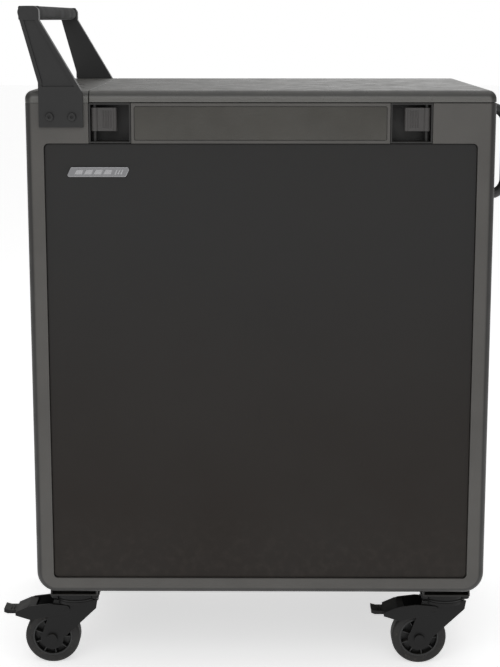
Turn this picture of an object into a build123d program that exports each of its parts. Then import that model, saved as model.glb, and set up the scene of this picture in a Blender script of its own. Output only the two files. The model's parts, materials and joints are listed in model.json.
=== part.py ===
"""A club tennis ball machine in a closed rolling cabinet, in millimetres.

The frame has +Z up and its origin on the floor, under the middle of the cabinet.
+X is the way the balls are thrown; the push handle is at the -X end, and the near
side, with the lid's latches and the badge, faces -Y.
"""
from build123d import *
from math import cos, pi, radians, sin, tan
import os

# ---------------------------------------------------------------- cabinet sizes
case_length = 610.0          # X, end panel to end panel
case_depth = 450.0           # Y, side frame to side frame
case_height = 680.0          # Z, underside to the top of the lid
ride_height = 116.0          # floor to the cabinet's underside
edge_radius = 11.0           # rounding of the cabinet's upright and top edges
bottom_radius = 28.0         # rounding of the cabinet's two bottom corners
sheet = 2.5                  # steel sheet of the base pan and the end panels
base_upturn = 60.0           # height of the base pan's upturned ends

frame_ring = 24.0            # width of the side frame's uprights
frame_sill = 22.0            # height of the side frame's bottom rail
frame_thickness = 18.0       # how deep the side frame reaches into the cabinet
band_height = 52.0           # height of the side frame's top rail
rail_thickness = 34.0        # how deep that top rail reaches into the cabinet
band_field_depth = 1.2       # shallow field in the near top rail, between the latches
band_field_margin = 4.0      # rail left round that field
ledge = 8.0                  # rebate in the frame that the side panel rests on
opening_radius = 6.0         # corners of the frame's opening
panel_recess = 3.0           # side panel's face behind the frame's face
panel_thickness = 3.0
fit_gap = 0.5                # clearance round pieces that drop into an opening

lid_thickness = 15.0
lid_gap = 1.0                # seam between the lid and the cabinet's rim
lid_wall = 6.0
lid_skin = 4.0
liner_thickness = 5.0
liner_columns = 4            # pressed fields of the board inside the lid
liner_rows = 3
liner_rib = 14.0             # board between two fields
cap_length = 83.0            # fixed top cap at the handle end
cap_lid_gap = 1.0

# ---------------------------------------------------------------- push handle
arm_foot_width = 57.0
arm_foot_drop = 47.0         # how far the foot reaches down the cabinet's side
arm_inset = 19.0             # foot's outer edge from the end of the cabinet
arm_rise = 107.0
arm_lean = 26.5              # how far the arm leans out over its height
arm_top_width = 29.5
arm_plate = 4.0              # foot plate
arm_thickness = 14.0         # upper arm
arm_corner = 8.0
arm_rim = 5.0                # raised rim round the arm's sunk field
arm_field_depth = 2.0
arm_stand_off = 0.4          # gap between the upper arm and the top cap
arm_shoulder = 3.0           # front edge bends this far below the top of the case
arm_knee = 10.0              # rear edge bends this far above it
bar_height = 18.0
bar_width = 27.0
bar_radius = 8.0

bolt_radius = 3.0
bolt_head_radius = 5.5
bolt_head = 3.5
bolt_spacing = 29.0
bolt_length = 16.0
bolt_hole_gap = 0.2
bolt_key = 2.3               # six-sided socket, to its corners

# ---------------------------------------------------------------- front grab handle
grab_tube_radius = 7.0
grab_reach = 52.0
grab_height = 151.0
grab_bend = 22.0
grab_drop = 13.0             # top of the loop below the top of the lid
grab_slope = 21.0            # upper foot below the loop's top
grab_foot_radius = 17.0
grab_foot = 4.0

# ---------------------------------------------------------------- lid latches and hinges
latch_offset = 195.0         # latch centre from the middle of the cabinet
dish_width = 55.0            # the dish is as tall as the top rail
dish_depth = 26.0
dish_wall = 2.0
paddle_width = 31.0
paddle_height = 30.0
paddle_thickness = 4.0
paddle_barrel = 5.0
paddle_pin = 2.5
paddle_drop = 4.0            # paddle's top below the dish's top wall
paddle_step = 1.0            # paddle's plate stands this far in front of its pin
paddle_grip = 2.8            # radius of the bead along the free edge
barrel_recess = 1.0          # paddle's barrel behind the rail's face
nose_length = 9.0            # catch behind the paddle's barrel
nose_height = 6.0
running_gap = 0.08           # radial clearance of a pin in its bore
side_gap = 0.4               # end clearance beside a moving piece

hinge_pin = 2.0
knuckle_radius = 4.0
knuckle_stand_off = 5.0      # pin's axis outside the cabinet's far face
knuckle_length = 22.0
hinge_leaf = 2.0
hinge_leaf_height = 30.0
hinge_offset = 150.0         # hinge from the middle of the lid
lid_leaf_height = 8.0
leaf_gap = 1.0               # leaf's edge to the knuckle
leaf_lift = 1.5              # lid's leaf above the pin's axis

# ---------------------------------------------------------------- badge
badge_length = 78.0
badge_height = 13.0
badge_slant = 6.0
badge_thickness = 2.0
badge_corner = 3.0
badge_bevel = 0.6
badge_from_end = 94.0        # badge's centre from the end of the cabinet
badge_from_top = 105.0

# ---------------------------------------------------------------- throwing head
ball_radius = 33.5
throw_radius = 76.0          # throwing wheel
throw_width = 50.0
throw_nip = 50.0             # gap between the two wheels' rims
tread_hollow = 5.0           # hollow of the tread at its middle
hub_radius = 55.0
hub_width = 44.0
hub_web = 8.0
hub_boss = 16.0
hub_rim = 6.0
hub_holes = 5
hub_hole_rim = 4.0           # metal left round each hole
spindle_radius = 6.0
wheel_reach = 190.0          # tilt axis to the wheels
muzzle_reach = 300.0         # tilt axis to the muzzle's mouth
muzzle_gap = 22.0            # muzzle to the front panel, when it points straight
muzzle_radius = 42.0
muzzle_wall = 2.5
muzzle_length = 54.0
plate_thickness = 3.0
channel_width = 78.0         # ball scoop, inside
channel_wall = 2.5
channel_fall = 1.5           # channel's floor below a centred ball
scoop_radius = 60.0          # curve that turns a falling ball forward
scoop_end = 130.0
scoop_back = 3.0             # scoop's back wall outside the drop tube's bore
scoop_top = 30.0
plate_eye = 34.0             # rounding of the side plates round each axis
plate_nose = 46.0            # half height of the side plates at the muzzle
spacer_radius = 5.0
spacer_reach = 105.0
spacer_rise = 62.0
trunnion_radius = 8.0
trunnion_length = 10.0       # how far the driven trunnion enters its gearbox
motor_radius = 36.0
motor_length = 95.0
motor_collar = 3.0
bearing_radius = 14.0
bearing_length = 8.0
sweep_clearance = 64.5       # lower wheel above the cabinet's floor
tilt_range = 25.0            # degrees
swing_range = 12.0           # degrees each way

yoke_plate = 6.0
yoke_radius = 95.0
yoke_arm_width = 56.0
yoke_arm_gap = 5.5           # head plate to yoke arm
yoke_boss = 12.0
yoke_boss_length = 20.0
drum_radius = 100.0
drum_height = 50.0
drum_wall = 3.0
drum_gap = 1.0               # turntable above its drum
pivot_radius = 10.0
tilt_gearbox = 54.0
tilt_gearbox_length = 24.0
tilt_motor_radius = 22.0
tilt_motor_length = 42.0

# ---------------------------------------------------------------- hopper and feeder
hopper_depth = 88.0          # rim to the flat of the hopper's floor
well_depth = 42.0
hopper_wall = 2.5
hopper_end_gap = 9.0         # hopper to the end panels
hopper_rim_drop = 2.0
slope_rise = 43.0            # rise of the floor towards the front
bank_rise = 22.0             # rise of the banks along the sides
bank_width = 33.0
pocket_radius = 38.0
pocket_circle = 105.0        # pockets' centres from the carousel's axis
pocket_count = 6
pocket_wall = 3.0
carousel_rim = 5.0           # outside the pockets
well_gap = 4.0               # carousel to the wall of its well
carousel_floor_gap = 1.0
carousel_top_gap = 3.0
cone_height = 26.0
cone_radius = 30.0
cone_tip = 9.0
shaft_radius = 5.0
gearbox_side = 70.0
gearbox_height = 35.0
feed_motor_radius = 26.0
feed_motor_length = 60.0
tube_radius = 37.5           # inside
tube_wall = 2.0
tube_flange = 10.0
tube_flange_thickness = 2.0
tube_end_gap = 58.0          # tube's mouth above the tilt axis

# ---------------------------------------------------------------- battery and controls
battery_length = 141.0
battery_width = 175.0
battery_height = 125.0
battery_gap = 8.0            # battery to the rounded corner of the base pan
terminal_inset = 25.0
terminal_radius = 7.0
terminal_height = 12.0
battery_chamfer = 2.0
panel_cut_width = 196.0      # control panel's window
panel_cut_height = 106.0
control_border = 10.0
control_thickness = 3.0
control_below_top = 236.0    # control panel's centre below the top of the cabinet
knob_radius = 17.0
knob_height = 16.0
knob_pitch = 54.0
knob_above = 16.0            # knobs above the panel's centre
knob_gap = 1.0               # knob's skirt to the panel
knob_stem = 3.0
knob_round = 2.0
knob_grooves = 12
knob_groove = 1.6
knob_skirt = 3.0             # plain rim below the grooves
pointer_height = 1.5
pointer_half_width = 1.2
pointer_from = 2.0           # pointer's ends from the knob's axis and rim
pointer_to = 4.0
stem_length = 12.0
pot_size = 18.0
pot_depth = 13.0
tray_depth = 22.0
tray_wall = 2.0
rocker_width = 15.0
rocker_height = 27.0
rocker_depth = 12.0
rocker_swing = 12.0          # degrees each way from its middle
rocker_pin = 1.5
rocker_slack = 2.0           # hole's end beyond the rocker's sweep
rocker_hollow = 1.5          # hollow of the key's face
rocker_taper = 0.7           # key's back as a share of its face
rocker_side = 62.0           # rocker's place across the panel
rocker_below = 30.0          # rocker and charging socket below the panel's centre
socket_radius = 11.0
socket_bore = 7.0
socket_depth = 14.0

# ---------------------------------------------------------------- ball port
port_margin = 8.0            # free space round a ball at the ends of its travel
port_corner = 24.0
bezel_border = 14.0
bezel_thickness = 4.0
bezel_lip = 3.0

# ---------------------------------------------------------------- casters
caster_inset_x = 49.0        # swivel axis from the end of the cabinet
caster_inset_y = 52.0
caster_wheel = 38.0          # wheel radius
caster_width = 25.0
caster_core = 28.0
core_wall = 3.0
core_boss = 9.0
caster_trail = 34.0
caster_plate_length = 68.0
caster_plate_width = 60.0
caster_bolt_inset = 6.5
caster_plate = 3.0
race_radius = 30.0
race_height = 9.5
crown_thickness = 4.0
crown_gap = 0.5
kingpin_radius = 5.0
kingpin_nut = 7.0
kingpin_nut_height = 3.5
fork_clearance = 3.0         # wheel to fork leg
fork_leg = 3.0
fork_eye = 16.0              # rounding of the leg round the axle
fork_crown = 30.0            # radius of the crown
fork_shoulder = 12.0
crown_taper = 2.0            # leg narrows by this much below the crown
axle_radius = 4.0
axle_head = 7.0
axle_head_height = 4.0
pedal_pivot = 14.0           # behind the swivel axis
pedal_pin = 2.5
pedal_root = 5.5             # rounding of the pedal round its pin
pedal_clearance = 3.0        # pedal's root below the crown
pedal_reach = 101.0          # swivel axis to the pedal's tip
pedal_side_gap = 0.6
pedal_cheek = 2.5
pedal_shoulder = 62.0        # swivel axis to the deep end of the cheeks
pedal_depth = 20.0           # cheeks' depth there
pedal_plate = 5.0
pedal_drop = 17.0            # toe plate's top below the crown
pedal_crown_gap = 1.0        # cheeks' top below the crown
pedal_ramp = 24.0            # length of the cheeks' level top edge
pedal_knee = 3.0             # fall of that edge at the deep end
pedal_plate_drop = 4.0       # plate below the cheeks' top
toe_length = 17.0            # toe beyond the cheeks
toe_half_width = 13.0
toe_curl = 2.0               # rise of the toe's rolled tip
toe_curl_top = 7.0           # tip to where its top starts to rise
toe_curl_low = 5.0           # tip to where its underside starts to rise
pedal_shoe = 6.0
pedal_swing = 8.0            # degrees
caster_rail_width = 64.0
caster_rail_wall = 2.0
caster_rail_end = 15.0       # rail's end inside the cabinet's side
tyre_shoulder = 4.0

# ---------------------------------------------------------------- places worked out from them
x_rear, x_front = -case_length / 2, case_length / 2
y_near, y_far = -case_depth / 2, case_depth / 2
z_base = ride_height
z_top = ride_height + case_height
z_rim = z_top - lid_thickness - lid_gap
z_band = z_rim - band_height
z_floor = z_base + sheet
y_in = case_depth / 2 - frame_thickness      # end panels lie between the frames
x_lid = x_rear + cap_length + cap_lid_gap

wheel_spacing = 2 * throw_radius + throw_nip
head_x = x_front - sheet - muzzle_gap - muzzle_reach
tilt_z = z_floor + sweep_clearance + wheel_spacing / 2 + throw_radius
head_half = channel_width / 2 + channel_wall  # inner face of the head's side plates
head_out = head_half + plate_thickness
yoke_in = head_out + yoke_arm_gap
yoke_out = yoke_in + yoke_plate
z_yoke = z_floor + drum_height + drum_gap

z_hopper = z_rim - hopper_depth
z_well = z_hopper - well_depth
feed_x = head_x - pocket_circle
carousel_radius = pocket_circle + pocket_radius + carousel_rim
well_radius = carousel_radius + well_gap

exit_distance = x_front - head_x
port_half_width = exit_distance * tan(radians(swing_range)) + ball_radius + port_margin
port_low = tilt_z - ball_radius - port_margin
port_high = tilt_z + exit_distance * tan(radians(tilt_range)) + ball_radius + port_margin

z_caster = 2 * caster_wheel + 31.0           # top of the caster's plate
z_race = z_caster - caster_plate
z_crown = z_race - race_height - crown_gap
fork_in = caster_width / 2 + fork_clearance
fork_out = fork_in + fork_leg
z_pedal = z_crown - crown_thickness - pedal_root - pedal_clearance
control_z = z_top - control_below_top
hinge_y = y_far + knuckle_stand_off
hinge_z = z_rim + lid_gap / 2
badge_x = x_rear + badge_from_end
badge_z = z_top - badge_from_top
grab_x = x_front + grab_reach - grab_tube_radius
grab_top = z_top - grab_drop - grab_tube_radius
grab_low = grab_top - grab_height + 2 * grab_tube_radius
grab_feet = (grab_low, grab_top - grab_slope)


# ---------------------------------------------------------------- helpers
def block(x0, x1, y0, y1, z0, z1):
    """A box between two corners."""
    middle = Pos((x0 + x1) / 2, (y0 + y1) / 2, (z0 + z1) / 2)
    return middle * Box(x1 - x0, y1 - y0, z1 - z0)


def side_slab(sketch, y0, y1):
    """A sketch drawn in X and Z, from y0 to y1."""
    return extrude(Plane.XZ.offset(-y1) * sketch, amount=y1 - y0)


def flat_slab(sketch, z0, z1):
    """A sketch drawn in X and Y, from z0 to z1."""
    return extrude(Plane.XY.offset(z0) * sketch, amount=z1 - z0)


def end_slab(sketch, x0, x1):
    """A sketch drawn in Y and Z, from x0 to x1."""
    return extrude(Plane.YZ.offset(x0) * sketch, amount=x1 - x0)


def rod_x(y, z, radius, x0, x1):
    return end_slab(Pos(y, z) * Circle(radius), x0, x1)


def rod_y(x, z, radius, y0, y1):
    return side_slab(Pos(x, z) * Circle(radius), y0, y1)


def rod_z(x, y, radius, z0, z1):
    return flat_slab(Pos(x, y) * Circle(radius), z0, z1)


def area(x0, x1, z0, z1, radius=0.0):
    """A rectangle between two corners, with rounded corners if a radius is given."""
    shape = Rectangle(x1 - x0, z1 - z0)
    if radius:
        shape = RectangleRounded(x1 - x0, z1 - z0, radius)
    return Pos((x0 + x1) / 2, (z0 + z1) / 2) * shape


def outline(*points):
    """A filled outline through points, in order."""
    return make_face(Polyline(*points, close=True))


def corner_vertices(sketch, wanted):
    """The sketch's vertices that stand at the wanted places."""
    return [v for v in sketch.vertices() if any(abs(v.X - x) + abs(v.Y - z) < 0.01 for x, z in wanted)]


def upright_edges(solid, x):
    return [e for e in solid.edges().filter_by(Axis.Z) if abs(e.center().X - x) < 0.01]


def both_sides(make):
    """The near piece that make(-1) gives and the far piece that make(+1) gives."""
    return Compound(children=[make(-1), make(1)])


nodes = {}


# ---------------------------------------------------------------- cabinet
def cabinet_outline(z_high):
    """The cabinet's outline from the side, up to z_high, with its two round bottom corners."""
    shape = area(x_rear, x_front, z_base, z_high)
    low = corner_vertices(shape, [(x_rear, z_base), (x_front, z_base)])
    return fillet(low, bottom_radius)


def side_frame(side, with_dishes):
    """A moulded ring that frames one side panel; its top rail is deeper and carries the lid's latches or hinges."""
    face = side * case_depth / 2
    inner = face - side * frame_thickness
    rail = face - side * rail_thickness
    body = side_slab(cabinet_outline(z_rim), min(face, inner), max(face, inner))
    rim = [e for e in body.faces().sort_by(Axis.Y)[0 if side < 0 else -1].outer_wire().edges()
           if e.center().Z < z_rim - 1]
    body = fillet(rim, edge_radius)
    body += block(x_rear + frame_ring, x_front - frame_ring, min(face, rail), max(face, rail), z_band, z_rim)
    window = area(x_rear + frame_ring, x_front - frame_ring, z_base + frame_sill, z_band, opening_radius)
    back = area(x_rear + frame_ring + ledge, x_front - frame_ring - ledge, z_base + frame_sill + ledge,
                z_band - ledge, opening_radius)
    step = face - side * (panel_recess + panel_thickness)
    body -= side_slab(window, min(face, step), max(face, step))
    body -= side_slab(back, min(step, rail), max(step, rail))
    if with_dishes:
        for x in (-latch_offset, latch_offset):
            half = dish_width / 2
            notch = sorted((face, face - side * dish_depth))
            body -= block(x - half, x + half, *notch, z_band, z_rim)
        reach = latch_offset - dish_width / 2 - band_field_margin
        field = area(-reach, reach, z_band + band_field_margin, z_rim - band_field_margin, panel_recess)
        body -= side_slab(field, *sorted((face, face - side * band_field_depth)))
    for x in arm_bolt_places():
        tip = face - side * (bolt_length + fit_gap)
        body -= rod_y(x, arm_bolt_z(), bolt_radius + bolt_hole_gap, min(face, tip), max(face, tip))
    return body


def side_panel(side):
    """The flat painted panel in a side frame."""
    face = side * (case_depth / 2 - panel_recess)
    back = face - side * panel_thickness
    shape = area(x_rear + frame_ring + fit_gap, x_front - frame_ring - fit_gap,
                 z_base + frame_sill + fit_gap, z_band - fit_gap, opening_radius)
    return side_slab(shape, min(face, back), max(face, back))


def base_pan():
    """The steel floor, turned up at both ends."""
    low = cabinet_outline(z_base + base_upturn)
    inside = area(x_rear + sheet, x_front - sheet, z_floor, z_base + base_upturn)
    inside = fillet(corner_vertices(inside, [(x_rear + sheet, z_floor), (x_front - sheet, z_floor)]),
                    bottom_radius - sheet)
    return side_slab(low - inside, -y_in, y_in)


def end_panel(side):
    """One steel end of the cabinet, above the base pan."""
    outside = side * case_length / 2
    inside = outside - side * sheet
    shape = area(-y_in, y_in, z_base + base_upturn, z_rim)
    return end_slab(shape, min(outside, inside), max(outside, inside))


def port_area(grow):
    return area(-port_half_width - grow, port_half_width + grow, port_low - grow, port_high + grow, port_corner + grow)


def front_end_panel():
    panel = end_panel(1) - end_slab(port_area(bezel_lip), x_front - sheet, x_front)
    return panel


def rear_end_panel():
    window = area(-panel_cut_width / 2, panel_cut_width / 2, control_z - panel_cut_height / 2,
                  control_z + panel_cut_height / 2, opening_radius)
    return end_panel(-1) - end_slab(window, x_rear, x_rear + sheet)


def rear_top_cap():
    """The fixed top over the handle end, hollow underneath."""
    shape = area(x_rear, x_rear + cap_length, y_near, y_far)
    cap = flat_slab(shape, z_rim, z_top)
    cap = fillet(upright_edges(cap, x_rear), edge_radius)
    top = cap.faces().sort_by(Axis.Z)[-1]
    cap = fillet([e for e in top.outer_wire().edges() if e.center().X < x_rear + cap_length - 0.01], edge_radius)
    hollow = block(x_rear + lid_wall, x_rear + cap_length - lid_wall, y_near + lid_wall, y_far - lid_wall,
                   z_rim, z_top - lid_skin)
    return cap - hollow


def lid_shell():
    """The lid, hollow underneath, with the cabinet's rounded edges on three sides."""
    shape = area(x_lid, x_front, y_near, y_far)
    lid = flat_slab(shape, z_rim + lid_gap, z_top)
    lid = fillet(upright_edges(lid, x_front), edge_radius)
    top = lid.faces().sort_by(Axis.Z)[-1]
    soft = [e for e in top.outer_wire().edges() if e.center().X > x_lid + 0.01 and e.center().Y < y_far - edge_radius]
    lid = fillet(soft, edge_radius)
    hollow = block(x_lid + lid_wall, x_front - lid_wall, y_near + lid_wall, y_far - lid_wall,
                   z_rim + lid_gap, z_top - lid_skin)
    return lid - hollow


def lid_liner():
    """The stiff board inside the lid, pressed into a waffle of shallow fields."""
    x0, x1 = x_lid + lid_wall + fit_gap, x_front - lid_wall - fit_gap
    y0, y1 = y_near + lid_wall + fit_gap, y_far - lid_wall - fit_gap
    high = z_top - lid_skin
    board = block(x0, x1, y0, y1, high - liner_thickness, high)
    step_x, step_y = (x1 - x0) / liner_columns, (y1 - y0) / liner_rows
    for i in range(liner_columns):
        for j in range(liner_rows):
            middle = Pos(x0 + (i + 0.5) * step_x, y0 + (j + 0.5) * step_y)
            field = middle * RectangleRounded(step_x - liner_rib, step_y - liner_rib, opening_radius)
            board -= flat_slab(field, high - liner_thickness, high - liner_thickness / 2)
    return board


# ---------------------------------------------------------------- push handle
def arm_bolt_places():
    middle = x_rear + arm_inset + arm_foot_width / 2
    return (middle - bolt_spacing / 2, middle + bolt_spacing / 2)


def arm_bolt_z():
    return z_rim - band_height / 3


def arm_outline(grow=0.0):
    """The arm seen from the side: an upright foot and a tapered, leaning upper arm."""
    outer = x_rear + arm_inset
    inner = outer + arm_foot_width
    high = z_top + arm_rise
    shape = outline((outer, z_top - arm_foot_drop), (inner, z_top - arm_foot_drop), (inner, z_top - arm_shoulder),
                    (outer - arm_lean + arm_top_width, high - bar_height), (outer - arm_lean + arm_top_width, high),
                    (outer - arm_lean, high), (outer, z_top + arm_knee))
    top = [(outer - arm_lean, high), (outer - arm_lean + arm_top_width, high)]
    shape = fillet(corner_vertices(shape, top), arm_corner)
    return offset(shape, grow) if grow else shape


def handle_arm(side):
    """One arm of the push handle: a foot plate on the cabinet's side and a thicker upper arm with a sunk field."""
    face = side * case_depth / 2
    outside = face + side * arm_plate
    inside = outside - side * arm_thickness
    above = area(x_rear - arm_lean, x_rear + case_length / 2, z_top + arm_stand_off, z_top + arm_rise)
    arm = side_slab(arm_outline(), min(face, outside), max(face, outside))
    arm += side_slab(arm_outline() & above, min(inside, outside), max(inside, outside))
    sunk = area(x_rear - arm_lean, x_rear + case_length / 2, z_top + arm_rim, z_top + arm_rise - bar_height)
    field = arm_outline(-arm_rim) & sunk
    bottom = outside - side * arm_field_depth
    arm -= side_slab(field, min(outside, bottom), max(outside, bottom))
    for x in arm_bolt_places():
        arm -= rod_y(x, arm_bolt_z(), bolt_radius + bolt_hole_gap, min(face, outside), max(face, outside))
    return arm


def handle_bar():
    """The crossbar between the two arms."""
    middle = x_rear + arm_inset - arm_lean + arm_top_width / 2
    shape = area(middle - bar_width / 2, middle + bar_width / 2, z_top + arm_rise - bar_height,
                 z_top + arm_rise, bar_radius)
    end = case_depth / 2 + arm_plate - arm_thickness
    return side_slab(shape, -end, end)


def handle_bolts():
    """The four bolts that hold the handle's feet to the side frames."""
    bolts = []
    for side in (-1, 1):
        head = sorted((side * (case_depth / 2 + arm_plate), side * (case_depth / 2 + arm_plate + bolt_head)))
        shank = sorted((side * (case_depth / 2 - bolt_length), side * (case_depth / 2 + arm_plate)))
        for x in arm_bolt_places():
            bolt = rod_y(x, arm_bolt_z(), bolt_head_radius, *head)
            outer = bolt.faces().sort_by(Axis.Y)[-1 if side > 0 else 0]
            bolt = fillet(outer.edges(), bolt_head / 2)
            key = side_slab(Pos(x, arm_bolt_z()) * RegularPolygon(bolt_key, 6), *head)
            deep = side * (case_depth / 2 + arm_plate + bolt_head / 2)
            tip = side * (case_depth / 2 + arm_plate + bolt_head)
            key &= rod_y(x, arm_bolt_z(), bolt_head_radius, *sorted((deep, tip)))
            bolts.append(bolt - key + rod_y(x, arm_bolt_z(), bolt_radius, *shank))
    return Compound(children=bolts)


def front_handle():
    """The fixed tubular loop on the front end, for lifting and steering."""
    low, high = grab_feet
    path = FilletPolyline((x_front + grab_foot / 2, 0, low), (grab_x, 0, low), (grab_x, 0, grab_top),
                          (x_front + grab_foot / 2, 0, high), radius=grab_bend)
    start = Plane(origin=path @ 0, z_dir=path % 0)
    loop = sweep(start * Circle(grab_tube_radius), path=path)
    for z in grab_feet:
        loop += rod_x(0, z, grab_foot_radius, x_front, x_front + grab_foot)
    return loop & block(x_front, x_front + grab_reach + 1, -case_depth, case_depth, z_base, z_top)


# ---------------------------------------------------------------- latches, hinges, badge
def latch_pin_place(side):
    """The paddle's pin stands at the outer end of its dish. side is -1 for the rear latch and +1 for the front one."""
    x = side * (latch_offset + dish_width / 2 - fit_gap - dish_wall - side_gap - paddle_barrel)
    return x, y_near + paddle_barrel + barrel_recess


def latch_housing(side):
    """A moulded dish let into the top rail, with the paddle's pin across it."""
    middle = side * latch_offset
    half = dish_width / 2 - fit_gap
    low, high = z_band + fit_gap, z_rim
    cup = block(middle - half, middle + half, y_near, y_near + dish_depth, low, high)
    cup -= block(middle - half + dish_wall, middle + half - dish_wall, y_near, y_near + dish_depth - dish_wall,
                 low + dish_wall, high - dish_wall)
    x, y = latch_pin_place(side)
    return cup + rod_z(x, y, paddle_pin, low, high)


def latch_paddle(side):
    """A paddle on an upright pin: fingers pull its free edge out of the dish."""
    x, y = latch_pin_place(side)
    high = z_rim - dish_wall - paddle_drop
    low = high - paddle_height
    free = x - side * (paddle_width - paddle_barrel)
    face = y - paddle_step - paddle_thickness / 2
    plate = block(min(x, free), max(x, free), face, face + paddle_thickness, low, high)
    grip = rod_z(free, y - paddle_step, paddle_grip, low, high)
    nose = block(*sorted((x, x - side * nose_length)), y, y + nose_length, high - nose_height, high)
    paddle = plate + grip + nose + rod_z(x, y, paddle_barrel, low, high)
    return paddle - rod_z(x, y, paddle_pin + running_gap, low, high)


def hinge_places():
    middle = (x_lid + x_front) / 2
    return (middle - hinge_offset, middle + hinge_offset)


def hinge_leaf_fixed(x):
    """The cabinet's leaf of one lid hinge, with the middle knuckle and the pin."""
    half = knuckle_length / 2
    leaf = block(x - 1.5 * knuckle_length, x + 1.5 * knuckle_length, y_far, y_far + hinge_leaf,
                 hinge_z - knuckle_radius - leaf_gap - hinge_leaf_height, hinge_z - knuckle_radius - leaf_gap)
    web = block(x - half, x + half, y_far, y_far + hinge_leaf, hinge_z - knuckle_radius - leaf_gap, hinge_z)
    link = block(x - half, x + half, y_far + hinge_leaf, hinge_y, hinge_z - knuckle_radius, hinge_z - leaf_gap)
    knuckle = rod_x(hinge_y, hinge_z, knuckle_radius, x - half, x + half)
    pin = rod_x(hinge_y, hinge_z, hinge_pin, x - 1.5 * knuckle_length, x + 1.5 * knuckle_length)
    leaf = leaf + web + link + knuckle + pin
    return leaf - block(x - half, x + half, y_far - leaf_gap, y_far, z_base, z_top)


def hinge_leaf_lid(x):
    """The lid's leaf of one hinge, with the two outer knuckles."""
    half = knuckle_length / 2
    low = hinge_z + knuckle_radius + side_gap
    leaf = block(x - 1.5 * knuckle_length, x + 1.5 * knuckle_length, y_far, y_far + hinge_leaf,
                 low, low + lid_leaf_height)
    for a, b in ((x - 1.5 * knuckle_length, x - half - side_gap), (x + half + side_gap, x + 1.5 * knuckle_length)):
        leaf += block(a, b, y_far, y_far + hinge_leaf, hinge_z + leaf_lift, low)
        leaf += block(a, b, y_far + hinge_leaf / 2, hinge_y, hinge_z + leaf_lift, hinge_z + knuckle_radius)
        leaf += rod_x(hinge_y, hinge_z, knuckle_radius, a, b)
        leaf -= rod_x(hinge_y, hinge_z, hinge_pin + running_gap, a, b)
    return leaf


def badge():
    """A plain slanted badge plate."""
    half, rise = badge_length / 2, badge_height / 2
    shape = outline((badge_x - half - badge_slant / 2, badge_z - rise), (badge_x + half - badge_slant / 2, badge_z - rise),
                    (badge_x + half + badge_slant / 2, badge_z + rise), (badge_x - half + badge_slant / 2, badge_z + rise))
    shape = fillet(shape.vertices(), badge_corner)
    face = y_near + panel_recess
    plate = side_slab(shape, face - badge_thickness, face)
    return chamfer(plate.faces().sort_by(Axis.Y)[0].edges(), badge_bevel)


# ---------------------------------------------------------------- throwing head
def head_axis(reach=0.0, rise=0.0):
    """A place on the head, measured forward and up from its tilt axis."""
    return head_x + reach, tilt_z + rise


def at_head(solid, reach, rise):
    x, z = head_axis(reach, rise)
    return Pos(x, 0, z) * solid


def spun(section):
    """A ring or disc about the Y axis, from a section drawn as radius and Y."""
    return revolve(section, Axis.Y)


def throw_tyre(rise):
    """A soft tyre with a hollow tread that centres the ball."""
    curve = (throw_width ** 2 / 4 + tread_hollow ** 2) / (2 * tread_hollow)
    section = area(hub_radius, throw_radius, -throw_width / 2, throw_width / 2)
    section -= Pos(throw_radius - tread_hollow + curve, 0) * Circle(curve)
    return at_head(spun(section), wheel_reach, rise)


def throw_hub(rise):
    """A spoked hub on its spindle, which runs through both side plates into the motor."""
    section = area(hub_radius - hub_rim, hub_radius, -hub_width / 2, hub_width / 2)
    section += area(0, hub_radius - hub_rim / 2, -hub_web / 2, hub_web / 2)
    section += area(0, hub_boss, -throw_width / 2, throw_width / 2)
    hub = spun(section)
    ring = (hub_boss + hub_radius - hub_rim) / 2
    hole = (hub_radius - hub_rim - hub_boss) / 2 - hub_hole_rim
    for i in range(hub_holes):
        angle = 2 * pi * i / hub_holes
        hub -= rod_y(ring * cos(angle), ring * sin(angle), hole, -hub_web, hub_web)
    hub += rod_y(0, 0, spindle_radius, -head_out - bearing_length, head_out + bearing_length * 2)
    return at_head(hub, wheel_reach, rise)


def plate_outline():
    """One side plate of the head, drawn from the tilt axis."""
    rise = wheel_spacing / 2
    nose = muzzle_reach - muzzle_length
    shape = outline((0, plate_eye), (wheel_reach - plate_eye, rise + plate_eye), (wheel_reach, rise + plate_eye),
                    (nose, plate_nose), (nose, -plate_nose), (wheel_reach, -rise - plate_eye),
                    (wheel_reach - plate_eye, -rise - plate_eye), (0, -plate_eye))
    ends = [(wheel_reach - plate_eye, rise + plate_eye), (wheel_reach, rise + plate_eye),
            (wheel_reach, -rise - plate_eye), (wheel_reach - plate_eye, -rise - plate_eye)]
    shape = fillet(corner_vertices(shape, ends), plate_eye / 2)
    shape += Circle(plate_eye)
    return shape - Pos(spacer_reach - plate_eye / 2, 0) * RectangleRounded(plate_eye, 2 * plate_eye, opening_radius)


def head_plates():
    """The two side plates with their spacers, bearings and trunnions."""
    x, z = head_axis()
    shape = Pos(x, z) * plate_outline()
    plates = []
    for side in (-1, 1):
        inner, outer = side * head_half, side * head_out
        plate = side_slab(shape, min(inner, outer), max(inner, outer))
        for rise in (-wheel_spacing / 2, wheel_spacing / 2):
            ax, az = head_axis(wheel_reach, rise)
            if side < 0:
                plate += rod_y(ax, az, bearing_radius, -head_out - bearing_length, -head_out)
            plate -= rod_y(ax, az, spindle_radius + running_gap, -head_out - bearing_length, head_out)
        end = yoke_out + trunnion_length if side < 0 else yoke_out + yoke_boss_length
        plate += rod_y(x, z, trunnion_radius, *sorted((inner, side * end)))
        plates.append(plate)
    for rise in (-spacer_rise, spacer_rise):
        sx, sz = head_axis(spacer_reach, rise)
        plates.append(rod_y(sx, sz, spacer_radius, -head_half, head_half))
    return Compound(children=plates)


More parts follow.
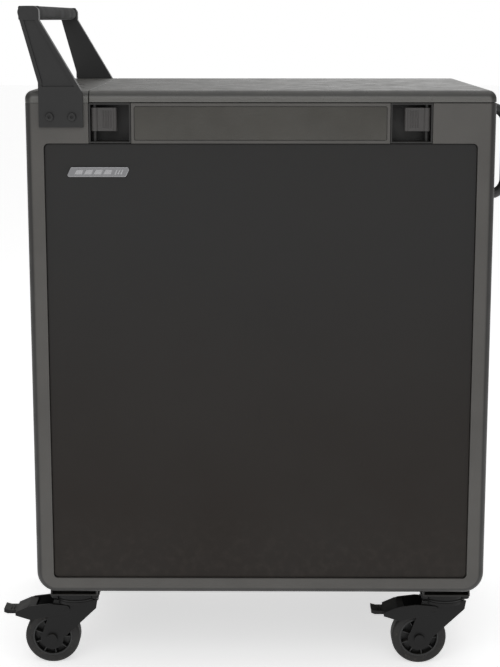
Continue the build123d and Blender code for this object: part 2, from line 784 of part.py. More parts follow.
def wheel_motors():
    """The two motors on the far side plate, one for each throwing wheel."""
    motors = []
    for rise in (-wheel_spacing / 2, wheel_spacing / 2):
        x, z = head_axis(wheel_reach, rise)
        motor = rod_y(x, z, motor_radius, head_out, head_out + motor_length)
        back = motor.faces().sort_by(Axis.Y)[-1]
        motor = fillet(back.edges(), motor_collar)
        for start in (motor_collar * 2, motor_length - motor_collar * 5):
            ring = Circle(motor_radius) - Circle(motor_radius - motor_collar / 2)
            motor -= side_slab(Pos(x, z) * ring, head_out + start, head_out + start + motor_collar)
        depth = bearing_length * 2 + side_gap
        motor -= rod_y(x, z, spindle_radius + running_gap, head_out, head_out + depth)
        motors.append(motor)
    return Compound(children=motors)


def ball_scoop():
    """An open channel that catches a falling ball and rolls it forward between the wheels."""
    back = -(tube_radius + scoop_back)
    floor = -(ball_radius + channel_fall)
    inner = area(back, scoop_end, floor, scoop_top)
    inner = fillet(corner_vertices(inner, [(back, floor)]), scoop_radius)
    outer = area(back - channel_wall, scoop_end, floor - channel_wall, scoop_top)
    outer = fillet(corner_vertices(outer, [(back - channel_wall, floor - channel_wall)]), scoop_radius + channel_wall)
    half = channel_width / 2
    channel = side_slab(outer, -head_half, head_half) - side_slab(inner, -half, half)
    return at_head(channel, 0, 0)


def muzzle():
    """The guide tube that the ball leaves by, on a flange between the side plates' front edges."""
    x, z = head_axis(muzzle_reach - muzzle_length)
    end = x + muzzle_length
    flange = end_slab(Pos(0, z) * RectangleRounded(2 * head_out, 2 * plate_nose, opening_radius), x, x + plate_thickness)
    tube = rod_x(0, z, muzzle_radius + muzzle_wall, x, end)
    lip = rod_x(0, z, muzzle_radius + 2 * muzzle_wall, end - 2 * muzzle_wall, end)
    lip = fillet(lip.edges().filter_by(GeomType.CIRCLE), muzzle_wall * 0.6)
    return flange + tube + lip - rod_x(0, z, muzzle_radius, x, end)


def turntable_base():
    """A hollow drum on the cabinet's floor, with the swing pivot standing on it."""
    top = z_floor + drum_height
    drum = rod_z(head_x, 0, drum_radius, z_floor, top)
    drum -= rod_z(head_x, 0, drum_radius - drum_wall, z_floor, top - drum_wall)
    return drum + rod_z(head_x, 0, pivot_radius, z_floor, z_yoke + yoke_plate)


def turntable_yoke():
    """The turning plate with two uprights that carry the head's trunnions."""
    yoke = rod_z(head_x, 0, yoke_radius, z_yoke, z_yoke + yoke_plate)
    yoke -= rod_z(head_x, 0, pivot_radius + running_gap, z_yoke, z_yoke + yoke_plate)
    half = yoke_arm_width / 2
    arm = area(head_x - half, head_x + half, z_yoke + yoke_plate, tilt_z) + Pos(head_x, tilt_z) * Circle(half)
    slot = area(head_x - half / 2, head_x + half / 2, z_yoke + yoke_plate + half, tilt_z - yoke_arm_width, half / 2 - 1)
    arm -= slot
    for side in (-1, 1):
        inner, outer = side * yoke_in, side * yoke_out
        yoke += side_slab(arm, min(inner, outer), max(inner, outer))
    yoke += rod_y(head_x, tilt_z, yoke_boss, yoke_out, yoke_out + yoke_boss_length)
    return yoke - rod_y(head_x, tilt_z, trunnion_radius + running_gap, -yoke_out, yoke_out + yoke_boss_length)


def elevation_gearmotor():
    """The gearmotor that tilts the head, on the near upright of the yoke."""
    face = -yoke_out
    side = tilt_gearbox / 2
    box = side_slab(Pos(head_x, tilt_z) * RectangleRounded(2 * side, 2 * side, opening_radius),
                    face - tilt_gearbox_length, face)
    box += rod_y(head_x, tilt_z, tilt_motor_radius, face - tilt_gearbox_length - tilt_motor_length,
                 face - tilt_gearbox_length)
    return box - rod_y(head_x, tilt_z, trunnion_radius + running_gap, face - trunnion_length - side_gap, face)


# ---------------------------------------------------------------- hopper and feeder
def hopper_space(grow):
    """The hopper's inside, or its outside when it is grown by a wall."""
    x0, x1 = x_rear + sheet + hopper_end_gap + hopper_wall, x_front - sheet - hopper_end_gap - hopper_wall
    y1 = case_depth / 2 - rail_thickness - hopper_wall
    floor = z_hopper - grow
    rim = z_rim - hopper_rim_drop
    deep = floor - slope_rise
    space = block(x0 - grow, x1 + grow, -y1 - grow, y1 + grow, floor, rim)
    start = feed_x + well_radius + hopper_wall
    steep = slope_rise / (x1 - start)
    wedge = outline((start, deep), (x1 + grow, deep), (x1 + grow, floor + slope_rise + grow * steep), (start, floor))
    space -= side_slab(wedge, -case_depth, case_depth)
    steep = bank_rise / bank_width
    for side in (-1, 1):
        edge, foot = side * (y1 + grow), side * (y1 - bank_width)
        bank = outline((foot, deep), (edge, deep), (edge, floor + bank_rise + grow * steep), (foot, floor))
        space -= end_slab(bank, x_rear, x_front)
    return space + rod_z(feed_x, 0, well_radius + grow, z_well - grow, z_hopper)


def hopper_tub():
    """The ball hopper: a floor that falls from the front and both sides to the carousel's round well."""
    tub = hopper_space(hopper_wall) - hopper_space(0)
    tub -= rod_z(head_x, 0, tube_radius, z_well - hopper_wall, z_well)
    return tub - rod_z(feed_x, 0, shaft_radius + side_gap, z_well - hopper_wall, z_well)


def feed_carousel():
    """The pocket wheel that carries one ball at a time to the drop hole, with its drive shaft."""
    low = z_well + carousel_floor_gap
    high = z_hopper - carousel_top_gap
    wheel = rod_z(0, 0, carousel_radius, low, high)
    wheel -= rod_z(0, 0, carousel_radius - pocket_wall, low, high - pocket_wall)
    for i in range(pocket_count):
        angle = 2 * pi * i / pocket_count
        wheel += rod_z(pocket_circle * cos(angle), pocket_circle * sin(angle), pocket_radius + pocket_wall, low, high)
    wheel &= rod_z(0, 0, carousel_radius, low, high)
    for i in range(pocket_count):
        angle = 2 * pi * i / pocket_count
        wheel -= rod_z(pocket_circle * cos(angle), pocket_circle * sin(angle), pocket_radius, low, high)
    cone = Pos(0, 0, high + cone_height / 2) * Cone(cone_radius, cone_tip, cone_height)
    wheel += cone + rod_z(0, 0, 2 * shaft_radius, low, high)
    wheel += rod_z(0, 0, shaft_radius, z_well - hopper_wall - gearbox_height / 2, low)
    return Pos(feed_x, 0) * wheel


def feed_gearmotor():
    """The gearmotor under the hopper that turns the carousel."""
    top = z_well - hopper_wall
    half = gearbox_side / 2
    box = flat_slab(Pos(feed_x, 0) * RectangleRounded(2 * half, 2 * half, opening_radius), top - gearbox_height, top)
    box += rod_z(feed_x, 0, feed_motor_radius, top - gearbox_height - feed_motor_length, top - gearbox_height)
    return box - rod_z(feed_x, 0, shaft_radius + running_gap, top - gearbox_height / 2 - side_gap, top)


def drop_tube():
    """The chute from the hopper's drop hole down to the scoop."""
    top = z_well - hopper_wall
    tube = rod_z(head_x, 0, tube_radius + tube_wall, tilt_z + tube_end_gap, top)
    tube += rod_z(head_x, 0, tube_radius + tube_flange, top - tube_flange_thickness, top)
    return tube - rod_z(head_x, 0, tube_radius, tilt_z + tube_end_gap, top)


# ---------------------------------------------------------------- battery, controls, ball port
def battery():
    """A sealed battery standing on the cabinet's floor, with two posts."""
    x0 = x_rear + bottom_radius + battery_gap
    top = z_floor + battery_height
    case = block(x0, x0 + battery_length, -battery_width / 2, battery_width / 2, z_floor, top)
    case = fillet(case.edges().filter_by(Axis.Z), opening_radius)
    case = chamfer(case.faces().sort_by(Axis.Z)[-1].edges(), battery_chamfer)
    for y in (-battery_width / 4, battery_width / 4):
        case += rod_z(x0 + battery_length - terminal_inset, y, terminal_radius, top, top + terminal_height)
    return case


def knob_places():
    return [(y, control_z + knob_above) for y in (-knob_pitch, 0.0, knob_pitch)]


def control_face():
    return x_rear - control_thickness


def rocker_axis():
    return x_rear - control_thickness / 2, control_z - rocker_below


def control_panel():
    """The moulded panel on the handle end, with its tray, three potentiometers and a charging socket."""
    face = control_face()
    width, height = panel_cut_width, panel_cut_height
    middle = Pos(0, control_z)
    border = RectangleRounded(width + 2 * control_border, height + 2 * control_border, control_border)
    panel = end_slab(middle * border, face, x_rear)
    outer_edge = panel.faces().sort_by(Axis.X)[0].edges()
    panel = fillet(outer_edge, control_thickness / 2)
    tray = RectangleRounded(width - 2 * fit_gap, height - 2 * fit_gap, opening_radius - fit_gap)
    tray -= RectangleRounded(width - 2 * fit_gap - 2 * tray_wall, height - 2 * fit_gap - 2 * tray_wall,
                             opening_radius - fit_gap - tray_wall)
    panel += end_slab(middle * tray, x_rear, x_rear + tray_depth)
    for y, z in knob_places():
        panel += block(x_rear, x_rear + pot_depth, y - pot_size / 2, y + pot_size / 2, z - pot_size / 2, z + pot_size / 2)
        panel -= rod_x(y, z, knob_stem + running_gap, face, face + stem_length + side_gap)
    z = control_z - rocker_below
    panel += rod_x(-rocker_side, z, socket_radius, face - tray_wall, x_rear + socket_depth)
    panel -= rod_x(-rocker_side, z, socket_bore, face - tray_wall, face + socket_depth)
    hole_half = rocker_height / 2 + rocker_slack
    cheek = tray_wall
    width = rocker_width / 2 + side_gap
    panel += block(x_rear, x_rear + rocker_depth, rocker_side - width - cheek, rocker_side + width + cheek,
                   z - hole_half, z + hole_half)
    panel -= block(face, x_rear + rocker_depth, rocker_side - width, rocker_side + width, z - hole_half, z + hole_half)
    return panel + rod_y(*rocker_axis(), rocker_pin, rocker_side - width, rocker_side + width)


def control_knob(y, z):
    """A grippy knob with a pointer ridge, on its stem."""
    face = control_face() - knob_gap
    knob = rod_x(y, z, knob_radius, face - knob_height, face)
    knob = fillet(knob.faces().sort_by(Axis.X)[0].edges(), knob_round)
    for i in range(knob_grooves):
        angle = 2 * pi * i / knob_grooves
        groove = rod_x(y + knob_radius * cos(angle), z + knob_radius * sin(angle), knob_groove, face - knob_height,
                       face - knob_skirt)
        knob -= groove
    pointer = block(face - knob_height - pointer_height, face - knob_height, y - pointer_half_width,
                    y + pointer_half_width, z + pointer_from, z + knob_radius - pointer_to)
    return knob + pointer + rod_x(y, z, knob_stem, face, control_face() + stem_length)


def power_rocker():
    """The rocker switch's key, resting with its lower half pressed in."""
    x, z = rocker_axis()
    half, deep = rocker_height / 2, rocker_depth / 2
    back = half * rocker_taper
    key = outline((x - deep, z - half), (x - deep + rocker_hollow, z), (x - deep, z + half), (x + deep, z + back),
                  (x + deep, z - back))
    key = side_slab(key, rocker_side - rocker_width / 2, rocker_side + rocker_width / 2)
    key -= rod_y(x, z, rocker_pin + running_gap, rocker_side - rocker_width, rocker_side + rocker_width)
    return key.rotate(Axis((x, 0, z), (0, 1, 0)), -rocker_swing)


def port_bezel():
    """The moulded ring round the ball port."""
    ring = end_slab(port_area(bezel_border), x_front, x_front + bezel_thickness)
    ring = fillet(ring.faces().sort_by(Axis.X)[-1].edges(), bezel_thickness / 2)
    ring += end_slab(port_area(bezel_lip - fit_gap / 2), x_front - sheet, x_front)
    return ring - end_slab(port_area(0), x_front - sheet, x_front + bezel_thickness)


# ---------------------------------------------------------------- casters
def caster_places():
    x, y = case_length / 2 - caster_inset_x, case_depth / 2 - caster_inset_y
    return [("rear_near", -x, -y), ("rear_far", -x, y), ("front_near", x, -y), ("front_far", x, y)]


def caster_rails():
    """Two flat tubes across the cabinet's underside, one for each pair of casters."""
    rails = []
    half, end = caster_rail_width / 2, case_depth / 2 - caster_rail_end
    for x in (caster_inset_x - case_length / 2, case_length / 2 - caster_inset_x):
        rail = block(x - half, x + half, -end, end, z_caster, z_base)
        wall = caster_rail_wall
        rails.append(rail - block(x - half + wall, x + half - wall, -end, end, z_caster + wall, z_base - wall))
    return Compound(children=rails)


def caster_plates():
    """The four casters' fixed plates, each with its ball race and king pin."""
    plates = []
    for name, x, y in caster_places():
        shape = Pos(x, y) * RectangleRounded(caster_plate_length, caster_plate_width, opening_radius)
        plate = flat_slab(shape, z_race, z_caster)
        for dx in (-1, 1):
            for dy in (-1, 1):
                bx = x + dx * (caster_plate_length / 2 - caster_bolt_inset)
                by = y + dy * (caster_plate_width / 2 - caster_bolt_inset)
                plate += rod_z(bx, by, bolt_head_radius, z_race - bolt_head, z_race)
        plate += rod_z(x, y, race_radius, z_race - race_height, z_race)
        plate += rod_z(x, y, kingpin_radius, z_crown - crown_thickness - crown_gap - kingpin_nut_height, z_race)
        nut_top = z_crown - crown_thickness - crown_gap
        plate += rod_z(x, y, kingpin_nut, nut_top - kingpin_nut_height, nut_top)
        plates.append(plate)
    return Compound(children=plates)


def caster_fork(x, y):
    """A swivelling fork that trails its axle behind the king pin."""
    crown = rod_z(0, 0, fork_crown, z_crown - crown_thickness, z_crown)
    low = z_crown - fork_shoulder
    leg = outline((-fork_crown, z_crown), (fork_crown, z_crown), (fork_crown - crown_taper, low),
                  (fork_eye - caster_trail, caster_wheel), (-fork_eye - caster_trail, caster_wheel))
    leg += Pos(-caster_trail, caster_wheel) * Circle(fork_eye)
    fork = crown
    for side in (-1, 1):
        fork += side_slab(leg, *sorted((side * fork_in, side * fork_out)))
        fork += rod_y(-caster_trail, caster_wheel, axle_head, *sorted((side * fork_out, side * (fork_out + axle_head_height))))
    fork += rod_y(-caster_trail, caster_wheel, axle_radius, -fork_out, fork_out)
    fork += rod_y(-pedal_pivot, z_pedal, pedal_pin, -fork_out - pedal_side_gap - pedal_cheek,
                  fork_out + pedal_side_gap + pedal_cheek)
    fork -= rod_z(0, 0, kingpin_radius + running_gap, z_crown - crown_thickness, z_crown)
    return Pos(x, y) * fork


def caster_tyre(x, y):
    """The rubber tread of a caster wheel, with rounded shoulders."""
    section = area(caster_core, caster_wheel, -caster_width / 2, caster_width / 2)
    outer = [(caster_wheel, -caster_width / 2), (caster_wheel, caster_width / 2)]
    section = fillet(corner_vertices(section, outer), tyre_shoulder)
    return Pos(x - caster_trail, y, caster_wheel) * spun(section)


def caster_core_disc(x, y):
    """The wheel's plastic core, with a boss at the axle and a dished web."""
    half = caster_width / 2
    section = area(caster_core - core_wall, caster_core, -half, half)
    section += area(axle_radius + running_gap, caster_core - core_wall / 2, -core_wall, core_wall)
    section += area(axle_radius + running_gap, core_boss, -half - side_gap, half + side_gap)
    return Pos(x - caster_trail, y, caster_wheel) * spun(section)


def caster_pedal(x, y):
    """The brake pedal: two cheeks on a pin through the fork, a toe plate and a brake shoe over the tread."""
    high = z_crown - crown_thickness - pedal_crown_gap
    toe = z_crown - pedal_drop
    low = toe - pedal_plate
    level = high - pedal_plate_drop
    deep = level - pedal_depth
    root = -pedal_shoulder - pedal_plate_drop
    neck = -pedal_reach + toe_length
    cheek = outline((-pedal_pivot, z_pedal + pedal_root), (-pedal_shoulder + pedal_ramp, high),
                    (-pedal_shoulder, high - pedal_knee), (neck, toe), (neck, low), (-pedal_shoulder, deep),
                    (-pedal_pivot, z_pedal - pedal_root))
    cheek += Pos(-pedal_pivot, z_pedal) * Circle(pedal_root)
    inner = fork_out + pedal_side_gap
    outer = inner + pedal_cheek
    hole = rod_y(-pedal_pivot, z_pedal, pedal_pin + running_gap, -outer, outer)
    pedal = side_slab(cheek, -outer, -inner) + side_slab(cheek, inner, outer)
    bridge = outline((root, level), (neck, toe), (neck, low), (root, level - pedal_plate))
    pedal += side_slab(bridge, -outer, outer)
    tip = outline((neck, toe), (-pedal_reach + toe_curl_top, toe), (-pedal_reach, toe + toe_curl),
                  (-pedal_reach, low + toe_curl), (-pedal_reach + toe_curl_low, low), (neck, low))
    pedal += side_slab(tip, -toe_half_width, toe_half_width)
    shoe = area(root, -pedal_shoulder + pedal_shoe, level - pedal_plate - pedal_shoe / 2, level)
    pedal += side_slab(shoe, -inner, inner)
    return Pos(x, y) * (pedal - hole)


# ---------------------------------------------------------------- every node
nodes["base_pan"] = base_pan()
nodes["front_end_panel"] = front_end_panel()
nodes["rear_end_panel"] = rear_end_panel()
nodes["near_side_frame"] = side_frame(-1, True)
nodes["far_side_frame"] = side_frame(1, False)
nodes["near_side_panel"] = side_panel(-1)
nodes["far_side_panel"] = side_panel(1)
nodes["rear_top_cap"] = rear_top_cap()
nodes["handle_arms"] = both_sides(handle_arm)
nodes["handle_bar"] = handle_bar()
nodes["handle_bolts"] = handle_bolts()
nodes["front_handle"] = front_handle()
nodes["badge"] = badge()

nodes["lid_shell"] = lid_shell()
nodes["lid_liner"] = lid_liner()
nodes["hinge_leaves"] = Compound(children=[hinge_leaf_fixed(x) for x in hinge_places()])
nodes["lid_hinge_leaves"] = Compound(children=[hinge_leaf_lid(x) for x in hinge_places()])
nodes["latch_housings"] = both_sides(latch_housing)
nodes["rear_latch_paddle"] = latch_paddle(-1)
nodes["front_latch_paddle"] = latch_paddle(1)

nodes["hopper_tub"] = hopper_tub()
nodes["feed_carousel"] = feed_carousel()
nodes["feed_gearmotor"] = feed_gearmotor()
nodes["drop_tube"] = drop_tube()

nodes["turntable_base"] = turntable_base()
nodes["turntable_yoke"] = turntable_yoke()
nodes["elevation_gearmotor"] = elevation_gearmotor()
nodes["head_plates"] = head_plates()
nodes["wheel_motors"] = wheel_motors()
nodes["ball_scoop"] = ball_scoop()
nodes["muzzle"] = muzzle()
for name, rise in (("upper", wheel_spacing / 2), ("lower", -wheel_spacing / 2)):
    nodes[name + "_wheel_tyre"] = throw_tyre(rise)
    nodes[name + "_wheel_hub"] = throw_hub(rise)

nodes["battery"] = battery()
nodes["control_panel"] = control_panel()
for name, place in zip(("speed", "feed", "spin"), knob_places()):
    nodes[name + "_knob"] = control_knob(*place)
nodes["power_rocker"] = power_rocker()
nodes["port_bezel"] = port_bezel()

nodes["caster_rails"] = caster_rails()
nodes["caster_plates"] = caster_plates()
for name, x, y in caster_places():
    nodes[name + "_caster_fork"] = caster_fork(x, y)
    nodes[name + "_caster_tyre"] = caster_tyre(x, y)
    nodes[name + "_caster_core"] = caster_core_disc(x, y)
    nodes[name + "_caster_pedal"] = caster_pedal(x, y)

os.makedirs("parts", exist_ok=True)
for name, solid in nodes.items():
    export_step(solid, "parts/" + name + ".step")
    print(name)
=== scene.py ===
"""Looks of a club tennis ball machine in a closed rolling cabinet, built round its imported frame."""
import json
import math
from functools import cache

import bmesh
import bpy
from mathutils import Matrix, Vector


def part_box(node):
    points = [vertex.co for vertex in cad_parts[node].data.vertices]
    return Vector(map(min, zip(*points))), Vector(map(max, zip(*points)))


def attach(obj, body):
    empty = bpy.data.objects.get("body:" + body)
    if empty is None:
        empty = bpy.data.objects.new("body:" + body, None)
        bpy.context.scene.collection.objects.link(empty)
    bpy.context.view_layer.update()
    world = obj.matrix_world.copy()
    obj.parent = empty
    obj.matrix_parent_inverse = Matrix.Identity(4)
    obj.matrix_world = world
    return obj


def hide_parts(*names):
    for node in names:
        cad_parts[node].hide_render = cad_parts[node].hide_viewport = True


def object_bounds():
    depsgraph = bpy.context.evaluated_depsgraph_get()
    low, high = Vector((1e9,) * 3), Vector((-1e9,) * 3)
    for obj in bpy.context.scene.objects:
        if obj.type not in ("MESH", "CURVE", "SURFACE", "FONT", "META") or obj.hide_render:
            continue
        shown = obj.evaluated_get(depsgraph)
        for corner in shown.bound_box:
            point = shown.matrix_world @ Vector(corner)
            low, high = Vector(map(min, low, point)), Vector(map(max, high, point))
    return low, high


bl_info = {
    "name": "Tennis ball machine",
    "version": (1, 0, 0),
    "blender": (4, 5, 0),
    "location": "View3D > Sidebar > Ball Machine",
    "description": "Builds the finishes and fittings of a rolling tennis ball machine",
    "category": "Object",
}

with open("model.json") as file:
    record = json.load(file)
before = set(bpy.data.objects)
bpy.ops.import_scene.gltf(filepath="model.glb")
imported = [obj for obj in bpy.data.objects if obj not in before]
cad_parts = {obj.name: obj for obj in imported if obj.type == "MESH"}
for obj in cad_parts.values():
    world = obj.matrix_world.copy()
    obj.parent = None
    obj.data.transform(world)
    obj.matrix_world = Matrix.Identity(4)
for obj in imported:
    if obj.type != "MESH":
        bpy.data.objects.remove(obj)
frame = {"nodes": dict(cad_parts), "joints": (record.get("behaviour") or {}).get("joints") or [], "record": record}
CAD_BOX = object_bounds()
NODES = frame["nodes"]
BODIES = frame["record"]["behaviour"]["bodies"]
BODY_OF = {node: body for body, members in BODIES.items() for node in members}
SLOT_OF = {part["node"]: part["material_slot"] for part in frame["record"]["subparts"]}
CASTERS = [name[:-len("_caster_fork")] for name in sorted(NODES) if name.endswith("_caster_fork")]
MM = 0.001
UP, SIDEWAYS, FORWARD = Vector((0, 0, 1)), Vector((0, 1, 0)), Vector((1, 0, 0))


# ---------------------------------------------------------------- measures and colours
def tone(red, green, blue):
    """A display colour, 0 to 255 a channel, as the linear colour that shaders take."""
    def linear(value):
        share = value / 255
        return share / 12.92 if share <= 0.04045 else ((share + 0.055) / 1.055) ** 2.4
    return (linear(red), linear(green), linear(blue))


def mm(*values):
    """Millimetres as metres."""
    return tuple(value * MM for value in values)


def corners(node):
    """A CAD node's lowest and highest corner."""
    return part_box(node)


def joint_place(name):
    """The point that a joint's axis runs through."""
    return Vector(next(joint["pos_m"] for joint in frame["joints"] if joint["name"] == name))


# ---------------------------------------------------------------- nodes and shader maths
class Signal:
    """An output of a node, with arithmetic that adds Math nodes."""

    def __init__(self, network, socket):
        self.network = network
        self.socket = socket

    def math(self, operation, *values):
        settings = {"operation": operation}
        return self.network.add(self.network.math_node, settings, dict(enumerate(values)))

    def __add__(self, other):
        return self.math("ADD", self, other)

    def __sub__(self, other):
        return self.math("SUBTRACT", self, other)

    def __rsub__(self, other):
        return self.math("SUBTRACT", other, self)

    def __mul__(self, other):
        return self.math("MULTIPLY", self, other)

    def __pow__(self, other):
        return self.math("POWER", self, other)

    def __rtruediv__(self, other):
        return self.math("DIVIDE", other, self)

    __radd__ = __add__
    __rmul__ = __mul__

    def band(self, low, high):
        """0 below low, 1 above high and smooth between them."""
        settings = {"interpolation_type": "SMOOTHSTEP"}
        return self.network.add("ShaderNodeMapRange", settings, {0: self, 1: low, 2: high, 3: 0.0, 4: 1.0})

    def sine(self):
        return self.math("SINE", self)

    def size(self):
        return self.math("ABSOLUTE", self)


class Network:
    """A node tree that is filled by add()."""
    math_node = "ShaderNodeMath"

    def __init__(self, tree):
        self.tree = tree

    def add(self, kind, settings=None, values=None, output=0):
        """A node with settings, and values or links for its sockets. Gives one of its outputs."""
        node = self.tree.nodes.new(kind)
        for name, value in (settings or {}).items():
            setattr(node, name, value)
        for key, value in (values or {}).items():
            if isinstance(value, Signal):
                self.tree.links.new(value.socket, node.inputs[key])
            else:
                node.inputs[key].default_value = value
        return Signal(self, node.outputs[output])


class Finish(Network):
    """A material in the making, on Object coordinates. Constants go onto the shader's sockets."""

    def __init__(self, name, color, roughness, metallic=0.0, **constants):
        self.material = bpy.data.materials.new(name)
        self.material.use_nodes = True
        super().__init__(self.material.node_tree)
        self.tree.nodes.clear()
        self.shader = self.tree.nodes.new("ShaderNodeBsdfPrincipled")
        output = self.tree.nodes.new("ShaderNodeOutputMaterial")
        self.tree.links.new(self.shader.outputs[0], output.inputs[0])
        self.place = self.add("ShaderNodeTexCoord", output="Object")
        self.material.diffuse_color = (*color, 1.0)
        basics = {"Base Color": (*color, 1.0), "Roughness": roughness, "Metallic": metallic}
        for socket, value in {**basics, **constants}.items():
            self.feed(socket.replace("_", " "), value)

    def feed(self, socket, value):
        """A value or a signal on one of the shader's sockets."""
        if isinstance(value, Signal):
            self.tree.links.new(value.socket, self.shader.inputs[socket])
        else:
            self.shader.inputs[socket].default_value = value

    def stretched(self, scale, offset=(0, 0, 0)):
        """The coordinates, scaled along each axis."""
        return self.add("ShaderNodeMapping",
                        values={"Vector": self.place, "Location": offset, "Scale": scale})

    def noise(self, grain, detail=3.0, stretch=(1, 1, 1), shift=0.0):
        """Noise from 0 to 1 whose lumps are about grain metres across."""
        where = self.stretched(stretch, (shift, shift * 0.7, -shift))
        values = {"Vector": where, "Scale": 1 / grain, "Detail": detail, "Roughness": 0.55}
        return self.add("ShaderNodeTexNoise", values=values)

    def cells(self, grain):
        """Distance from the middle of irregular cells that are about grain metres across."""
        values = {"Vector": self.stretched((1, 1, 1)), "Scale": 1 / grain}
        return self.add("ShaderNodeTexVoronoi", values=values)

    def axis(self, index):
        """One coordinate, in metres: 0 for X, 1 for Y and 2 for Z."""
        return self.add("ShaderNodeSeparateXYZ", values={0: self.place}, output=index)

    def facing(self, index):
        """How far the surface looks along one of the piece's own axes, from -1 to 1."""
        normal = self.add("ShaderNodeTexCoord", output="Normal")
        return self.add("ShaderNodeSeparateXYZ", values={0: normal}, output=index)

    def rounded_off(self):
        """1 where the surface turns away from the piece's own axes, as on a rounded edge, and 0 elsewhere; it
        masks the painted edge shade.
        """
        x, y, z = [self.facing(index).size() for index in range(3)]
        return 1 - x.math("MAXIMUM", x, y.math("MAXIMUM", y, z)).band(0.9, 0.995)

    def mix(self, factor, first, second):
        """A colour between two colours, each a linear triple or a signal."""
        def whole(value):
            return value if isinstance(value, Signal) else (*value[:3], 1.0)
        values = {0: factor, 6: whole(first), 7: whole(second)}
        return self.add("ShaderNodeMix", {"data_type": "RGBA"}, values, output=2)

    def dusted(self, paint, amount):
        """The colour with pale dust settled on what faces up."""
        settled = self.facing(2).band(0.4, 1.0) * self.noise(0.02, 5.0, shift=7.0).band(0.35, 0.75)
        return self.mix(settled * amount, paint, tone(150, 144, 132))

    def bump(self, height, distance):
        """A surface relief of about distance metres."""
        values = {"Height": height, "Distance": distance, "Strength": 1.0}
        self.feed("Normal", self.add("ShaderNodeBump", values=values))


def shade(color, factor):
    """A colour made lighter or darker by a factor."""
    return tuple(min(1.0, channel * factor) for channel in color[:3])


def moulding(name, color, roughness=0.5, grain=0.0007, relief=0.00005, cloud=0.16, dust=0.0, edge=1.0,
             **constants):
    """Moulded plastic or rubber: fine grain, cloudy colour, uneven gloss, dust on top, and painted shade that
    darkens rounded edges.
    """
    finish = Finish(name, color, roughness, **constants)
    clouds = finish.noise(0.09, 4.0)
    paint = finish.mix(clouds.band(0.3, 0.7), shade(color, 1 - cloud), shade(color, 1 + cloud))
    specks = finish.noise(0.0016, 2.0, shift=3.0).band(0.62, 0.74)
    paint = finish.mix(specks * 0.25, paint, shade(color, 1.7))
    # Painted shade: rounded surfaces are darkened by the factor edge, standing in for the dark surroundings that
    # they reflect.
    if edge < 1:
        paint = finish.mix(finish.rounded_off(), paint, shade(color, edge))
    if dust:
        paint = finish.dusted(paint, dust)
    finish.feed("Base Color", paint)
    smears = finish.noise(0.03, 5.0, shift=1.0).band(0.35, 0.7)
    finish.feed("Roughness", smears * 0.12 + (roughness - 0.05))
    pores = finish.cells(grain)
    finish.bump(pores + finish.noise(grain * 1.6, 2.0), relief)
    return finish


def paint_coat(name, color, roughness=0.45, peel=0.0016, relief=0.00006, scuffs=0.3, dust=0.0):
    """Powder or enamel paint on metal: orange peel, faint vertical streaks and thin scuffs."""
    finish = Finish(name, color, roughness, Specular_IOR_Level=0.25)
    clouds = finish.noise(0.16, 4.0)
    paint = finish.mix(clouds.band(0.3, 0.7), shade(color, 0.9), shade(color, 1.1))
    lines = finish.noise(0.0035, 3.0, stretch=(1, 1, 0.05), shift=5.0).band(0.6, 0.78)
    rubbed = lines * finish.noise(0.07, 3.0, shift=9.0).band(0.52, 0.7)
    paint = finish.mix(rubbed * scuffs, paint, shade(color, 1.9))
    if dust:
        paint = finish.dusted(paint, dust)
    finish.feed("Base Color", paint)
    finish.feed("Roughness", rubbed * 0.15 + finish.noise(0.04, 4.0, shift=2.0) * 0.1 + (roughness - 0.06))
    finish.bump(finish.noise(peel, 2.0), relief)
    return finish


def plated(name, color, roughness=0.34, spangle=0.006, brushed=None):
    """Bare or plated metal: pale and dark spangles, or hairlines where a brushing direction is given."""
    finish = Finish(name, color, roughness, metallic=1.0)
    if brushed:
        lines = finish.noise(0.0009, 3.0, stretch=brushed)
        broad = finish.noise(0.006, 2.0, stretch=brushed, shift=2.0)
        finish.feed("Base Color",
                    finish.mix(lines * 0.6 + broad * 0.4, shade(color, 0.82), shade(color, 1.14)))
        finish.feed("Roughness", lines * 0.22 + (roughness - 0.1))
        finish.bump(lines, 0.00002)
        return finish
    flakes = finish.add("ShaderNodeTexVoronoi", {"feature": "F1"},
                        {"Vector": finish.place, "Scale": 1 / spangle}, "Color")
    flake = finish.add("ShaderNodeSeparateColor", values={0: flakes})
    tarnish = finish.noise(0.05, 5.0).band(0.4, 0.75)
    metal = finish.mix(flake * 0.5 + tarnish * 0.3, shade(color, 1.08), shade(color, 0.78))
    finish.feed("Base Color", metal)
    finish.feed("Roughness", flake * 0.14 + tarnish * 0.14 + (roughness - 0.08))
    finish.bump(finish.noise(0.0012, 3.0), 0.00001)
    return finish


# ---------------------------------------------------------------- the machine's finishes
def made_once(build):
    """A finish's material, made at its first use and named after its function."""
    return cache(lambda: build(build.__name__).material)


def choices():
    """The user's sizes and colours."""
    return bpy.context.scene.ball_machine


@made_once
def charcoal_panel_paint(name):
    """The side panels' fine-textured charcoal, darker and a shade warmer towards the bottom, with faint pale dust
    low down.
    """
    color = choices().panel_color
    finish = paint_coat(name, color, 0.52, peel=0.0011, relief=0.00007, scuffs=0.1)
    low, high = corners("near_side_panel")
    height = finish.axis(2).band(low.z, high.z)
    # Darker and browner towards the bottom of the panel.
    warm = finish.mix(height, tone(31, 25, 20), tone(38, 38, 38))
    clouds = finish.noise(0.2, 4.0)
    paint = finish.mix(clouds.band(0.25, 0.75) * 0.35, warm, shade(color, 1.22))
    low_down = 1 - finish.axis(2).band(low.z, low.z + 0.12)
    haze = low_down * finish.noise(0.012, 5.0, shift=4.0).band(0.4, 0.8)
    finish.feed("Base Color", finish.mix(haze * 0.05, paint, tone(120, 112, 102)))
    return finish


